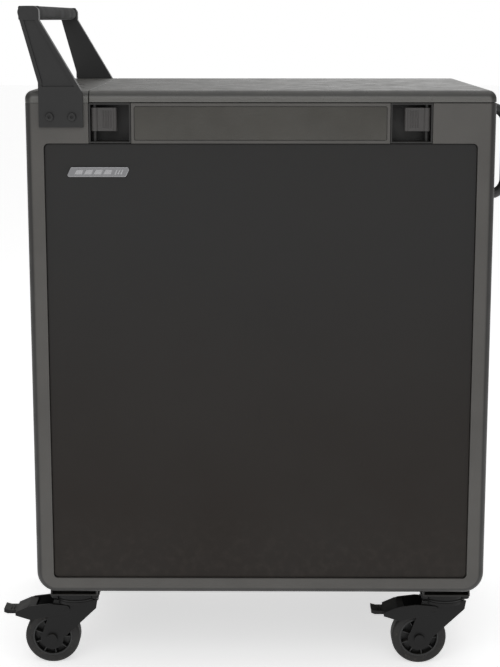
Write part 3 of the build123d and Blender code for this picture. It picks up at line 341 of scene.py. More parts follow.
# Painted shade: edge=0.25 darkens the frame's rounded edges to a quarter of its colour.
@made_once
def frame_moulding(name):
    return moulding(name, choices().frame_color, 0.44, grain=0.001, relief=0.00005, cloud=0.07, edge=0.25)


@made_once
def frame_edge_shade(name):
    """The frame's eased edges, in a darker moulding that paints shade onto the bevels."""
    return moulding(name, shade(choices().frame_color, 0.7), 0.4, grain=0.001, relief=0.00003, cloud=0.1)


# Painted shade: edge=0.42 darkens the rounded edges of the lid and cap; the dust is real.
@made_once
def lid_moulding(name):
    return moulding(name, choices().lid_color, 0.32, grain=0.0012, relief=0.00004, cloud=0.06, dust=0.08,
                    edge=0.42)


@made_once
def band_strip_moulding(name):
    return moulding(name, tone(62, 60, 55), 0.55, grain=0.0014, relief=0.0001, cloud=0.08)


@made_once
def end_sheet_paint(name):
    return paint_coat(name, tone(62, 61, 60), 0.48, peel=0.0014, relief=0.00008, scuffs=0.25)


@made_once
def underside_paint(name):
    return paint_coat(name, tone(44, 43, 42), 0.55, peel=0.0014, relief=0.00008, scuffs=0.4, dust=0.2)


@made_once
def arm_enamel(name):
    return paint_coat(name, choices().arm_color, 0.4, peel=0.0009, relief=0.00005, scuffs=0.22)


# Painted shade: a darker enamel for the arms' eased edges, with heavier scuffs.
@made_once
def arm_edge_shade(name):
    return paint_coat(name, shade(choices().arm_color, 0.72), 0.38, peel=0.0009, relief=0.00003, scuffs=0.5)


@made_once
def grip_rubber(name):
    return moulding(name, tone(27, 27, 27), 0.74, grain=0.0006, relief=0.00006, cloud=0.2, dust=0.08)


@made_once
def nylon_coat(name):
    return moulding(name, tone(36, 36, 35), 0.42, grain=0.0009, relief=0.00005, cloud=0.12,
                    Coat_Weight=0.12)


@made_once
def brushed_silver(name):
    return plated(name, tone(138, 138, 140), 0.34, brushed=(0.02, 1, 1))


@made_once
def silver_rim(name):
    return plated(name, tone(172, 172, 174), 0.22, brushed=(0.05, 1, 1))


@made_once
def black_oxide(name):
    return plated(name, tone(46, 45, 45), 0.42, spangle=0.004)


@made_once
def black_moulding(name):
    return moulding(name, tone(27, 26, 25), 0.52, grain=0.0008, relief=0.00007, cloud=0.15, dust=0.1)


@made_once
def paddle_moulding(name):
    return moulding(name, tone(62, 60, 59), 0.46, grain=0.0007, relief=0.00004, cloud=0.1)


@made_once
def liner_board(name):
    return moulding(name, tone(112, 111, 108), 0.8, grain=0.002, relief=0.0002, cloud=0.1)


@made_once
def formed_sheet(name):
    return moulding(name, tone(60, 60, 61), 0.48, grain=0.0024, relief=0.00016, cloud=0.1, dust=0.25)


@made_once
def ivory_moulding(name):
    return moulding(name, tone(214, 211, 200), 0.38, grain=0.0012, relief=0.00003, cloud=0.05, dust=0.18)


@made_once
def pipe_moulding(name):
    return moulding(name, tone(122, 122, 120), 0.45, grain=0.0015, relief=0.00003, cloud=0.08)


@made_once
def zinc_plate(name):
    return plated(name, tone(176, 178, 178), 0.36, spangle=0.009)


@made_once
def cast_alloy(name):
    return plated(name, tone(190, 190, 190), 0.4, spangle=0.002)


@made_once
def brass_post(name):
    return plated(name, tone(196, 164, 96), 0.3, spangle=0.003)


@made_once
def motor_enamel(name):
    return paint_coat(name, tone(26, 27, 29), 0.3, peel=0.002, relief=0.00005, scuffs=0.2, dust=0.15)


@made_once
def battery_case(name):
    return moulding(name, tone(38, 40, 44), 0.34, grain=0.0014, relief=0.00005, cloud=0.08, dust=0.22)


@made_once
def red_key(name):
    return moulding(name, tone(168, 34, 28), 0.26, grain=0.002, relief=0.00001, cloud=0.05)


@made_once
def pale_print(name):
    return moulding(name, tone(214, 212, 206), 0.55, grain=0.001, relief=0.00001, cloud=0.04)


@made_once
def lamp_lens(name):
    return moulding(name, tone(70, 110, 74), 0.18, grain=0.002, relief=0.00001, cloud=0.04,
                    Coat_Weight=0.6)


@made_once
def caster_steel(name):
    return paint_coat(name, tone(15, 15, 15), 0.42, peel=0.0012, relief=0.00006, scuffs=0.35, dust=0.12)


# Painted highlight: a lighter paint for the casters' eased edges, with heavier scuffs.
@made_once
def caster_edge_highlight(name):
    return paint_coat(name, tone(34, 33, 32), 0.36, peel=0.0012, relief=0.00003, scuffs=0.6)


@made_once
def caster_core_moulding(name):
    return moulding(name, tone(27, 27, 27), 0.48, grain=0.001, relief=0.00004, cloud=0.12, dust=0.1)


@made_once
def throwing_tread(name):
    """Soft grey tread, rubbed with the felt of the balls it has thrown."""
    finish = moulding(name, tone(104, 99, 92), 0.78, grain=0.001, relief=0.00012, cloud=0.12)
    felt = finish.noise(0.006, 4.0, stretch=(1, 3, 1), shift=6.0).band(0.55, 0.75)
    worn = finish.noise(0.03, 3.0, shift=8.0).band(0.3, 0.7)
    plain = finish.mix(worn, tone(84, 80, 75), tone(116, 110, 102))
    finish.feed("Base Color", finish.mix(felt * 0.35, plain, tone(158, 166, 84)))
    return finish


@made_once
def rolling_tread(name):
    """Black rubber, greyed where it rolls on the court."""
    finish = moulding(name, tone(23, 22, 21), 0.66, grain=0.0009, relief=0.00012, cloud=0.15)
    grit = finish.noise(0.0025, 4.0, shift=2.0).band(0.5, 0.7)
    grit = grit * finish.noise(0.018, 3.0, shift=5.0).band(0.35, 0.7)
    finish.feed("Base Color", finish.mix(grit * 0.4, tone(24, 23, 22), tone(104, 96, 86)))
    return finish


# ---------------------------------------------------------------- meshes
def in_scene(name, data):
    """An object in the scene for a mesh, a light or a camera."""
    thing = bpy.data.objects.new(name, data)
    bpy.context.scene.collection.objects.link(thing)
    return thing


def bridges(count, rings, closed=False):
    """Faces that join each ring of points to the next, and the last to the first where it is closed."""
    pairs = zip(range(rings if closed else rings - 1), [*range(1, rings), 0])
    return [(count * i + k, count * i + (k + 1) % count, count * j + (k + 1) % count, count * j + k)
            for i, j in pairs for k in range(count)]


def new_piece(name, vertices, faces, material):
    """A mesh object at the origin, with its normals turned outwards."""
    mesh = bpy.data.meshes.new(name)
    mesh.from_pydata([tuple(vertex) for vertex in vertices], [], [tuple(face) for face in faces])
    shape = bmesh.new()
    shape.from_mesh(mesh)
    bmesh.ops.remove_doubles(shape, verts=shape.verts, dist=1e-6)
    bmesh.ops.recalc_face_normals(shape, faces=shape.faces)
    shape.to_mesh(mesh)
    shape.free()
    mesh.materials.append(material)
    return in_scene(name, mesh)


def smooth(piece, angle=32.0):
    """Smooth shading, with edges sharper than the angle kept crisp."""
    piece.data.shade_smooth()
    piece.data.set_sharp_from_angle(angle=math.radians(angle))
    return piece


def settle(piece):
    """The piece with its modifiers turned into plain mesh."""
    graph = bpy.context.evaluated_depsgraph_get()
    mesh = bpy.data.meshes.new_from_object(piece.evaluated_get(graph))
    piece.modifiers.clear()
    piece.data = mesh
    mesh.name = piece.name
    return piece


def stand(piece, body, slot, *replaced):
    """The piece rides on a body and stands for the nodes it replaces, which are hidden. Its slot is not used."""
    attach(piece, body)
    if replaced:
        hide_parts(*replaced)
    return piece


def lathe(name, profile, material, axis, steps, centre=(0, 0, 0)):
    """A ring or disc turned about an axis through a centre, from a closed loop of (radius, height) points."""
    turn = UP.rotation_difference(axis).to_matrix()
    vertices, faces = [], []
    for i in range(steps):
        angle = 2 * math.pi * i / steps
        for radius, height in profile:
            vertices.append(Vector(centre) + turn @ Vector((radius * math.cos(angle),
                                                            radius * math.sin(angle), height)))
    count = len(profile)
    for i in range(steps):
        for j in range(count):
            here, there = i * count, ((i + 1) % steps) * count
            k = (j + 1) % count
            faces.append((here + j, there + j, there + k, here + k))
    return smooth(new_piece(name, vertices, faces, material))


def dome_profile(radius, height):
    """Half of a button head: a flat base, a short wall and a rounded top."""
    steps = 5
    points = [(0.0, 0.0), (radius, 0.0), (radius, height * 0.35)]
    for i in range(1, steps + 1):
        angle = math.pi / 2 * i / steps
        reach = radius * 0.45
        points.append((radius - reach + reach * math.cos(angle), height * (0.35 + 0.65 * math.sin(angle))))
    points.append((0.0, height))
    return points


def socket_screw(name, radius, height, material, axis):
    """A button-head screw with a six-sided socket, at the origin."""
    turn = UP.rotation_difference(axis).to_matrix()
    steps = 12
    rings = [(radius, 0.0), (radius, height * 0.4), (radius * 0.82, height * 0.85), (radius * 0.6, height)]
    vertices = []
    for ring_radius, ring_height in rings:
        for i in range(steps):
            angle = 2 * math.pi * i / steps
            vertices.append((ring_radius * math.cos(angle), ring_radius * math.sin(angle), ring_height))
    for depth in (height, height * 0.35):
        for i in range(steps):
            angle = 2 * math.pi * i / steps
            hexagon = radius * 0.42 / math.cos((angle + math.pi / 6) % (math.pi / 3) - math.pi / 6)
            vertices.append((hexagon * math.cos(angle), hexagon * math.sin(angle), depth))
    faces = bridges(steps, 6)
    faces.append(tuple(range(steps))[::-1])
    faces.append(tuple(range(5 * steps, 6 * steps)))
    return smooth(new_piece(name, [turn @ Vector(vertex) for vertex in vertices], faces, material), 40.0)


def rounded_block(name, low, high, radius, material, segments=3):
    """A block between two corners with all its edges rounded."""
    low, high = Vector(low), Vector(high)
    shape = bmesh.new()
    size = high - low
    bmesh.ops.create_cube(shape, size=1.0,
                          matrix=Matrix.Translation((low + high) / 2) @ Matrix.Diagonal((*size, 1.0)))
    bmesh.ops.bevel(shape, geom=shape.edges[:], offset=radius, segments=segments, affect="EDGES",
                    profile=0.5)
    mesh = bpy.data.meshes.new(name)
    shape.to_mesh(mesh)
    shape.free()
    mesh.materials.append(material)
    return smooth(in_scene(name, mesh), 50.0)


def eased(node, name, material, width, edge=None):
    """A CAD node's shape with its triangles joined into whole faces and its sharp edges eased."""
    sharp = math.radians(34.0)
    shape = bmesh.new()
    shape.from_mesh(NODES[node].data)
    bmesh.ops.remove_doubles(shape, verts=shape.verts, dist=1e-5)
    bmesh.ops.dissolve_limit(shape, angle_limit=math.radians(0.4), verts=shape.verts, edges=shape.edges)
    shape.verts.index_update()
    vertices = [vertex.co.copy() for vertex in shape.verts]
    faces = [[vertex.index for vertex in face.verts] for face in shape.faces]
    shape.free()
    mesh = bpy.data.meshes.new(name)
    mesh.from_pydata(vertices, [], faces)
    mesh.materials.append(material)
    mesh.materials.append(edge or material)
    mesh.shade_smooth()
    mesh.set_sharp_from_angle(angle=sharp)
    piece = in_scene(name, mesh)
    bevel = piece.modifiers.new("eased edges", "BEVEL")
    bevel.width = width
    bevel.segments = 3
    bevel.limit_method = "ANGLE"
    bevel.angle_limit = sharp
    bevel.use_clamp_overlap = True
    bevel.material = 1
    bevel.harden_normals = True
    settle(piece)
    return stand(piece, BODY_OF[node], SLOT_OF[node], node)


def repaint(node, material):
    """A new material on a CAD node whose shape is right."""
    slots = NODES[node].data.materials
    slots.clear()
    slots.append(material)


# ---------------------------------------------------------------- geometry trees
class Plan(Network):
    """A geometry tree in the making, with named inputs after its first, the geometry itself."""

    def __init__(self, name, inputs):
        super().__init__(bpy.data.node_groups.new(name, "GeometryNodeTree"))
        self.tree.interface.new_socket("Geometry", in_out="INPUT", socket_type="NodeSocketGeometry")
        for label, kind in inputs:
            self.tree.interface.new_socket(label, in_out="INPUT", socket_type="NodeSocket" + kind)
        self.tree.interface.new_socket("Material", in_out="INPUT", socket_type="NodeSocketMaterial")
        self.tree.interface.new_socket("Geometry", in_out="OUTPUT", socket_type="NodeSocketGeometry")
        self.inlet = self.tree.nodes.new("NodeGroupInput")

    def given(self, label):
        return Signal(self, self.inlet.outputs[label])

    def close(self, geometry):
        """Ends the tree: instances made real, then the material."""
        real = self.add("GeometryNodeRealizeInstances", values={0: geometry})
        painted = self.add("GeometryNodeSetMaterial",
                           values={"Geometry": real, "Material": self.given("Material")})
        outlet = self.tree.nodes.new("NodeGroupOutput")
        self.tree.links.new(painted.socket, outlet.inputs[0])
        return self.tree


@cache
def row_plan():
    """Repeats a shape along a straight line."""
    plan = Plan("row", [("Count", "Int"), ("Start", "Vector"), ("Step", "Vector")])
    values = {"Count": plan.given("Count"), "Start Location": plan.given("Start"),
              "Offset": plan.given("Step")}
    line = plan.add("GeometryNodeMeshLine", {"mode": "OFFSET"}, values)
    copies = plan.add("GeometryNodeInstanceOnPoints",
                      values={"Points": line, "Instance": plan.given("Geometry")})
    return plan.close(copies)


@cache
def fan_plan():
    """Repeats a shape round an axis through the origin, then turns and places the lot."""
    inputs = [("Count", "Int"), ("First", "Float"), ("Step", "Float"), ("Turn", "Vector"),
              ("Centre", "Vector")]
    plan = Plan("fan", inputs)
    points = plan.add("GeometryNodeMeshLine", {"mode": "OFFSET"},
                      {"Count": plan.given("Count"), "Offset": (0, 0, 0)})
    angle = plan.add("GeometryNodeInputIndex") * plan.given("Step") + plan.given("First")
    spin = plan.add("ShaderNodeCombineXYZ", values={2: angle})
    spin = plan.add("FunctionNodeEulerToRotation", values={0: spin})
    copies = plan.add("GeometryNodeInstanceOnPoints",
                      values={"Points": points, "Instance": plan.given("Geometry"), "Rotation": spin})
    values = {"Geometry": copies, "Translation": plan.given("Centre"), "Rotation": plan.given("Turn")}
    placed = plan.add("GeometryNodeTransform", values=values)
    return plan.close(placed)


@cache
def sleeve_plan():
    """A ribbed sleeve: a rounded oblong section carried along a line, its size waved by the ribs' pitch."""
    inputs = [("Start", "Vector"), ("End", "Vector"), ("Width", "Float"), ("Height", "Float"),
              ("Corner", "Float"), ("Pitch", "Float"), ("Depth", "Float"), ("Count", "Int")]
    plan = Plan("sleeve", inputs)
    line = plan.add("GeometryNodeCurvePrimitiveLine",
                    values={"Start": plan.given("Start"), "End": plan.given("End")})
    line = plan.add("GeometryNodeResampleCurve", values={"Curve": line, "Count": plan.given("Count")})
    along = plan.add("GeometryNodeSplineParameter", output="Length")
    wave = (along * (math.pi / plan.given("Pitch"))).sine().size() ** 0.35
    line = plan.add("GeometryNodeSetCurveRadius",
                    values={"Curve": line, "Radius": 1 - (1 - wave) * plan.given("Depth")})
    section = plan.add("GeometryNodeCurvePrimitiveQuadrilateral",
                       values={"Width": plan.given("Width"), "Height": plan.given("Height")})
    section = plan.add("GeometryNodeFilletCurve", {"mode": "POLY"},
                       {"Curve": section, "Count": 5, "Radius": plan.given("Corner")})
    sleeve = plan.add("GeometryNodeCurveToMesh",
                      values={"Curve": line, "Profile Curve": section, "Fill Caps": True})
    return plan.close(sleeve)


def grow(piece, maker, material, **values):
    """Runs a geometry tree on a piece and keeps the result as plain mesh."""
    tree = maker()
    modifier = piece.modifiers.new("pattern", "NODES")
    modifier.node_group = tree
    values = {**values, "Material": material}
    for item in tree.interface.items_tree:
        if item.in_out == "INPUT" and item.name in values:
            modifier[item.identifier] = values[item.name]
    return settle(piece)


def row(piece, count, start, step, material):
    return grow(piece, row_plan, material, Count=count, Start=tuple(start), Step=tuple(step))


def fan(piece, count, first, step, turn, centre, material):
    return grow(piece, fan_plan, material, Count=count, First=first, Step=step, Turn=tuple(turn),
                Centre=tuple(centre))


def fitting(piece, node):
    """The piece goes with a CAD node: it rides on the node's body."""
    return stand(piece, BODY_OF[node], SLOT_OF[node])


def frame_ring(name, x, y, z, width, height, border, depth, material):
    """A rectangular rim on an end wall, standing out towards -X, with its outer edges broken."""
    loops = []
    for spread, out in ((0.0, 0.0), (0.0, depth * 0.6), (-depth * 0.4, depth), (-border, depth),
                        (-border, 0.0)):
        half_y, half_z = width / 2 + spread, height / 2 + spread
        loops.append([(x - out, y + sy * half_y, z + sz * half_z)
                      for sy, sz in ((-1, -1), (1, -1), (1, 1), (-1, 1))])
    vertices = [corner for loop in loops for corner in loop]
    faces = bridges(4, len(loops), closed=True)
    return smooth(new_piece(name, vertices, faces, material), 20.0)


def louvre_scoop(name, width, height, depth, material):
    """One pressed louvre on a wall that faces -X: a bulge that is highest along its lower edge."""
    columns, rows = 24, 6
    vertices, faces = [], []
    for j in range(rows + 1):
        for i in range(columns + 1):
            across, down = i / columns, j / rows
            edge = min(1.0, max(0.0, math.sin(math.pi * across) * 4.0))
            swell = math.sin(down * math.pi / 2) ** 0.8 * math.sqrt(edge)
            vertices.append((-depth * swell, (across - 0.5) * width, height * (0.5 - down)))
    back = len(vertices)
    for i in range(columns + 1):
        vertices.append((0.0, (i / columns - 0.5) * width, -height / 2))
    for j in range(rows):
        for i in range(columns):
            a = j * (columns + 1) + i
            faces.append((a, a + 1, a + columns + 2, a + columns + 1))
    low = rows * (columns + 1)
    for i in range(columns):
        faces.append((low + i, low + i + 1, back + i + 1, back + i))
    faces.append([back + i for i in range(columns + 1)] + [0, columns])
    return smooth(new_piece(name, vertices, faces, material), 35.0)


def quad_bar(name, width, height, depth, material, slant=0.0):
    """A slim bar on a wall that faces -Y, at the origin, with chamfered front edges and an optional slant."""
    loops = ((0.0, 0.0), (0.0, depth * 0.5), (-depth * 0.5, depth))
    vertices = []
    for spread, out in loops:
        for sx, sz in ((-1, -1), (1, -1), (1, 1), (-1, 1)):
            vertices.append((sx * (width / 2 + spread) + sz * slant / 2, -out, sz * (height / 2 + spread)))
    faces = [(3, 2, 1, 0), (8, 9, 10, 11), *bridges(4, len(loops))]
    return smooth(new_piece(name, vertices, faces, material), 20.0)


def screws(name, node, radius, height, axis, start, count=1, step=(0, 0, 0)):
    """A row of black socket screws in a CAD node."""
    steel = black_oxide()
    fitting(row(socket_screw(name, radius, height, steel, axis), count, start, step, steel), node)


# ---------------------------------------------------------------- choices
def color_choice(name, description, default):
    """A colour that the user can change."""
    return bpy.props.FloatVectorProperty(name=name, description=description, subtype="COLOR", size=3,
                                         default=default, min=0, max=1)


def number(name, description, default, low, high, kind=bpy.props.FloatProperty, **more):
    """A size, count or share that the user can change."""
    return kind(name=name, description=description, default=default, min=low, max=high, **more)


class BallMachineChoices(bpy.types.PropertyGroup):
    panel_color: color_choice("Side panels", "Colour of the painted side panels", tone(36, 34, 32))
    frame_color: color_choice("Frame", "Colour of the moulded side frames", tone(76, 74, 71))
    lid_color: color_choice("Lid", "Colour of the lid and its fixed cap", tone(93, 92, 89))
    arm_color: color_choice("Handle arms", "Colour of the push handle's enamelled arms", tone(47, 47, 47))
    eased_edge: number("Eased edge", "Radius on the edges of sheet metal and mouldings",
                       0.0007, 0.0002, 0.002, unit="LENGTH")
    rib_pitch: number("Grip rib pitch", "Distance between the ribs of the handle's rubber grip",
                      0.0078, 0.004, 0.02, unit="LENGTH")
    rib_depth: number("Grip rib depth", "Depth of the grip's grooves as a share of its half width",
                      0.09, 0.0, 0.3, subtype="FACTOR")
    rivet_count: number("Rivets", "Rivets down each upright edge of an end panel",
                        7, 2, 20, bpy.props.IntProperty)
    louvre_count: number("Louvres", "Cooling louvres low on the handle end", 8, 1, 20, bpy.props.IntProperty)
    tick_count: number("Dial marks", "Marks round each control knob", 11, 3, 25, bpy.props.IntProperty)


class BallMachineStage(bpy.types.PropertyGroup):
    floor_color: color_choice("Floor", "Colour of the studio floor", (0.92, 0.92, 0.92))
    floor_size: number("Floor size", "Width of the studio floor", 40.0, 2.0, 200.0, unit="LENGTH")
    camera_distance: number("Camera distance", "Level distance from the machine's middle to the camera",
                            2.333, 1.0, 10.0, unit="LENGTH")
    camera_height: number("Camera height", "Height of the camera above the floor",
                          0.8865, 0.0, 5.0, unit="LENGTH")
    camera_pitch: number("Camera pitch", "How far the camera looks down",
                         math.radians(10.97), 0.0, 1.5, subtype="ANGLE", unit="ROTATION")
    camera_yaw: number("Camera yaw", "How far the camera looks towards the handle end",
                       math.radians(0.372), -1.5, 1.5, subtype="ANGLE", unit="ROTATION")
    lens: number("Lens", "Focal length in millimetres", 87.6, 20.0, 300.0)
    key_power: number("Key light", "Power of the large soft light over the near side",
                      17.0, 0.0, 1000.0, subtype="POWER")
    top_power: number("Top light", "Power of the soft light overhead", 16.0, 0.0, 1000.0, subtype="POWER")
    ambient: number("Ambient", "Strength of the surrounding light", 0.5, 0.0, 5.0)
    floor_glow: number("Floor glow", "How much light the floor gives off by itself", 0.6, 0.0, 5.0)


# ---------------------------------------------------------------- pieces
class CabinetOperator(bpy.types.Operator):
    """Side frames, side panels, sheet-steel ends with their rivets and louvres, base pan and caster rails"""
    bl_idname = "ball_machine.cabinet"
    bl_label = "Cabinet"

    def execute(self, context):
        user = choices()
        frame_paint, edge_shade_paint = frame_moulding(), frame_edge_shade()
        for side in ("near", "far"):
            # Painted shade on the frames: frame_paint darkens their rounded edges, and the bevels take the darker
            # edge paint.
            eased(side + "_side_frame", side + "_moulded_frame", frame_paint, 1.6 * user.eased_edge,
                  edge_shade_paint)
            eased(side + "_side_panel", side + "_painted_panel", charcoal_panel_paint(), user.eased_edge)
        self.band_strip()
        sheet_paint = end_sheet_paint()
        eased("front_end_panel", "front_sheet", sheet_paint, user.eased_edge)
        eased("rear_end_panel", "rear_sheet", sheet_paint, user.eased_edge)
        eased("rear_top_cap", "fixed_cap", lid_moulding(), user.eased_edge)
        repaint("base_pan", underside_paint())
        repaint("caster_rails", underside_paint())
        low, high = corners("rear_end_panel")
        inset, first = mm(8, 30)
        step = (high.z - low.z - 2 * first) / (user.rivet_count - 1)
        for end, x, out in (("front", corners("front_end_panel")[1].x, FORWARD), ("rear", low.x, -FORWARD)):
            for side in (-1, 1):
                rivet = lathe(f"{end}_rivets_{'far' if side > 0 else 'near'}",
                              dome_profile(3 * MM, 1.3 * MM), sheet_paint, out, 20)
                start = (x, side * (high.y - inset), low.z + first)
                row(rivet, user.rivet_count, start, (0, 0, step), sheet_paint)
                fitting(rivet, end + "_end_panel")
        width, height, depth = mm(170, 9, 4)
        lowest, pitch = mm(222, 15)
        scoop = louvre_scoop("rear_louvres", width, height, depth, sheet_paint)
        row(scoop, user.louvre_count, (low.x, 0, lowest), (0, 0, pitch), sheet_paint)
        fitting(scoop, "rear_end_panel")
        return {"FINISHED"}

    def band_strip(self):
        """The thin strip let into the near frame's top rail, between the latch dishes."""
        face, reach, gap = corners("near_side_frame")[0].y, 163.5 * MM, 0.8 * MM
        bottom, top, sunk, thickness, corner = mm(732, 776, 0.3, 1, 0.3)
        strip = rounded_block("band_strip", (gap - reach, face + sunk, bottom + gap),
                              (reach - gap, face + sunk + thickness, top - gap), corner,
                              band_strip_moulding(), 2)
        fitting(strip, "near_side_frame")


class LidOperator(bpy.types.Operator):
    """The hollow lid with the board pressed into its underside"""
    bl_idname = "ball_machine.lid"
    bl_label = "Lid"

    def execute(self, context):
        eased("lid_shell", "lid_moulded_shell", lid_moulding(), choices().eased_edge)
        eased("lid_liner", "lid_waffle_board", liner_board(), choices().eased_edge)
        return {"FINISHED"}


class PushHandleOperator(bpy.types.Operator):
    """Two enamelled arms bolted to the cabinet's sides and a ribbed rubber grip between them"""
    bl_idname = "ball_machine.push_handle"
    bl_label = "Push handle"

    def execute(self, context):
        user = choices()
        # The arms' bevels take the darker edge enamel, a painted shade.
        eased("handle_arms", "enamelled_arms", arm_enamel(), user.eased_edge, arm_edge_shade())
        repaint("handle_bolts", arm_enamel())
        low, high = corners("handle_bar")
        centre = (low + high) / 2
        rubber = grip_rubber()
        collar = 9 * MM
        sleeve = new_piece("ribbed_grip", [(0, 0, 0)], [], rubber)
        grow(sleeve, sleeve_plan, rubber, Start=(centre.x, low.y + collar, centre.z),
             End=(centre.x, high.y - collar, centre.z), Width=high.x - low.x, Height=high.z - low.z,
             Corner=7.8 * MM, Pitch=user.rib_pitch, Depth=user.rib_depth, Count=620)
        smooth(sleeve, 50.0)
        stand(sleeve, BODY_OF["handle_bar"], SLOT_OF["handle_bar"], "handle_bar")
        for side, y0, y1 in (("near", low.y, low.y + collar), ("far", high.y - collar, high.y)):
            ring = rounded_block(f"grip_collar_{side}", (low.x, y0, low.z), (high.x, y1, high.z), 2 * MM,
                                 rubber)
            fitting(ring, "handle_bar")
        return {"FINISHED"}


class GrabHandleOperator(bpy.types.Operator):
    """The coated steel loop on the throwing end"""
    bl_idname = "ball_machine.grab_handle"
    bl_label = "Grab handle"

    def execute(self, context):
        repaint("front_handle", nylon_coat())
        low, high = corners("front_handle")
        foot_middle, foot_thickness, half_spacing = mm(17, 4, 12.5)
        for place, z in (("low", low.z + foot_middle), ("high", high.z - foot_middle)):
            for side, half in ((-1, "near"), (1, "far")):
                screws(f"grab_screw_{place}_{half}", "front_handle", 2.4 * MM, 1.2 * MM, FORWARD,
                       (low.x + foot_thickness, side * half_spacing, z))
        return {"FINISHED"}


class LatchesOperator(bpy.types.Operator):
    """The dished lid latches and their finger paddles"""
    bl_idname = "ball_machine.latches"
    bl_label = "Latches"

    def execute(self, context):
        edge = choices().eased_edge
        eased("latch_housings", "latch_dishes", black_moulding(), edge)
        for end in ("rear", "front"):
            node = end + "_latch_paddle"
            eased(node, end + "_finger_paddle", paddle_moulding(), edge)
            low, high = corners(node)
            side = -1 if end == "rear" else 1
            face = low.y + 2 * MM
            ridge = quad_bar(end + "_paddle_ridges", 1.3 * MM, 22 * MM, 0.7 * MM, paddle_moulding())
            start = ((low.x + high.x) / 2 - side * 9 * MM, face, (low.z + high.z) / 2)
            row(ridge, 4, start, (side * 3.2 * MM, 0, 0), paddle_moulding())
            fitting(ridge, node)
        return {"FINISHED"}


class HingesOperator(bpy.types.Operator):
    """Two blackened lid hinges on the far side, with their screws"""
    bl_idname = "ball_machine.hinges"
    bl_label = "Hinges"

    def execute(self, context):
        steel, half_leaf = black_oxide(), 33 * MM
        for node, z, radius, step in (("hinge_leaves", 758 * MM, 3.2 * MM, 24 * MM),
                                      ("lid_hinge_leaves", 788.9 * MM, 2.2 * MM, 44 * MM)):
            eased(node, node.replace("leaves", "plates"), steel, 0.4 * MM)
            low, high = corners(node)
            count = 3 if node == "hinge_leaves" else 2
            for name, middle_x in (("rear", low.x + half_leaf), ("front", high.x - half_leaf)):
                start = (middle_x - step * (count - 1) / 2, low.y + 2 * MM, z)
                screws(f"{node}_{name}_screws", node, radius, 1.1 * MM, SIDEWAYS, start, count,
                       (step, 0, 0))
        return {"FINISHED"}


class BadgeOperator(bpy.types.Operator):
    """The slanted silver badge with a plain pattern of raised bars"""
    bl_idname = "ball_machine.badge"
    bl_label = "Badge"

    def execute(self, context):
        eased("badge", "badge_plate", brushed_silver(), 0.25 * MM, silver_rim())
        low, high = corners("badge")
        centre = (low + high) / 2
        height, depth, slant, sunk = mm(6.4, 0.5, 3, 0.1)
        for name, width, count, x, step in (("long", 9.5 * MM, 4, -25 * MM, 12.5 * MM),
                                            ("short", 2.2 * MM, 3, 23 * MM, 3.8 * MM)):
            bar = quad_bar(f"badge_{name}_bars", width, height, depth, silver_rim(), slant)
            row(bar, count, (centre.x + x, low.y + sunk, centre.z), (step, 0, 0), silver_rim())
            fitting(bar, "badge")
        return {"FINISHED"}


class ControlsOperator(bpy.types.Operator):
    """The control panel on the handle end: three knobs with dial marks, lamps, rocker and charging socket"""
    bl_idname = "ball_machine.controls"
    bl_label = "Controls"

    def execute(self, context):
        user = choices()
        eased("control_panel", "control_fascia", black_moulding(), 0.4 * MM)
        face = corners("rear_end_panel")[0].x - 3 * MM
        socket_row, lamp_row, first_lamp, lamp_step = mm(530, 609, -19.5, 13)
        pin_depth, first_pin, pin_step, rocker_middle = mm(14, -65.4, 3.4, 62)
        pale = pale_print()
        for dial in ("speed", "feed", "spin"):
            node = dial + "_knob"
            repaint(node, grip_rubber())
            low, high = corners(node)
            centre = (low + high) / 2
            mark = rounded_block(dial + "_dial_marks", mm(21, -0.45, 0), mm(25, 0.45, 0.4),
                                 0.12 * MM, pale, 1)
            turn = math.radians(270) / (user.tick_count - 1)
            fan(mark, user.tick_count, math.radians(-135), turn, (0.0, -math.pi / 2, 0.0),
                (face, centre.y, centre.z), pale)
            fitting(mark, "control_panel")
            pointer = rounded_block(dial + "_pointer",
                                    (low.x - 0.2 * MM, centre.y - 0.6 * MM, centre.z + 3 * MM),
                                    (low.x + 0.4 * MM, centre.y + 0.6 * MM, centre.z + 12 * MM), 0.15 * MM,
                                    pale, 1)
            fitting(pointer, node)
        lamp = lathe("charge_lamps", dome_profile(2.4 * MM, 1.6 * MM), lamp_lens(), -FORWARD, 20)
        row(lamp, 4, (face, first_lamp, lamp_row), (0, lamp_step, 0), lamp_lens())
        fitting(lamp, "control_panel")
        rim = frame_ring("rocker_rim", face, rocker_middle, socket_row, *mm(22, 36, 2.6, 1.4),
                         black_moulding())
        fitting(rim, "control_panel")
        repaint("power_rocker", red_key())
        brass = brass_post()
        pin = lathe("charging_pins", dome_profile(1.1 * MM, 7 * MM), brass, -FORWARD, 12)
        row(pin, 3, (face + pin_depth, first_pin, socket_row), (0, pin_step, 0), brass)
        fitting(pin, "control_panel")
        out, lowest, apart = mm(101.5, 503, 114)
        for side, half in ((-1, "near"), (1, "far")):
            screws(f"fascia_screws_{half}", "control_panel", 2.6 * MM, 1.4 * MM, -FORWARD,
                   (face, side * out, lowest), 2, (0, 0, apart))
        return {"FINISHED"}


class PortOperator(bpy.types.Operator):
    """The moulded ring round the ball port, with its screws"""
    bl_idname = "ball_machine.port"
    bl_label = "Ball port"

    def execute(self, context):
        eased("port_bezel", "port_ring", black_moulding(), 0.5 * MM)
        low, high = corners("port_bezel")
        inset, step_y, lowest, step_z = mm(6.5, 80, 350, 86)
        for name, z in (("low", low.z + inset), ("high", high.z - inset)):
            screws(f"port_screws_{name}", "port_bezel", 2.4 * MM, 1.2 * MM, FORWARD, (high.x, -step_y, z),
                   3, (0, step_y, 0))
        for name, y in (("near", low.y + inset), ("far", high.y - inset)):
            screws(f"port_screws_{name}", "port_bezel", 2.4 * MM, 1.2 * MM, FORWARD, (high.x, y, lowest), 3,
                   (0, 0, step_z))
        return {"FINISHED"}


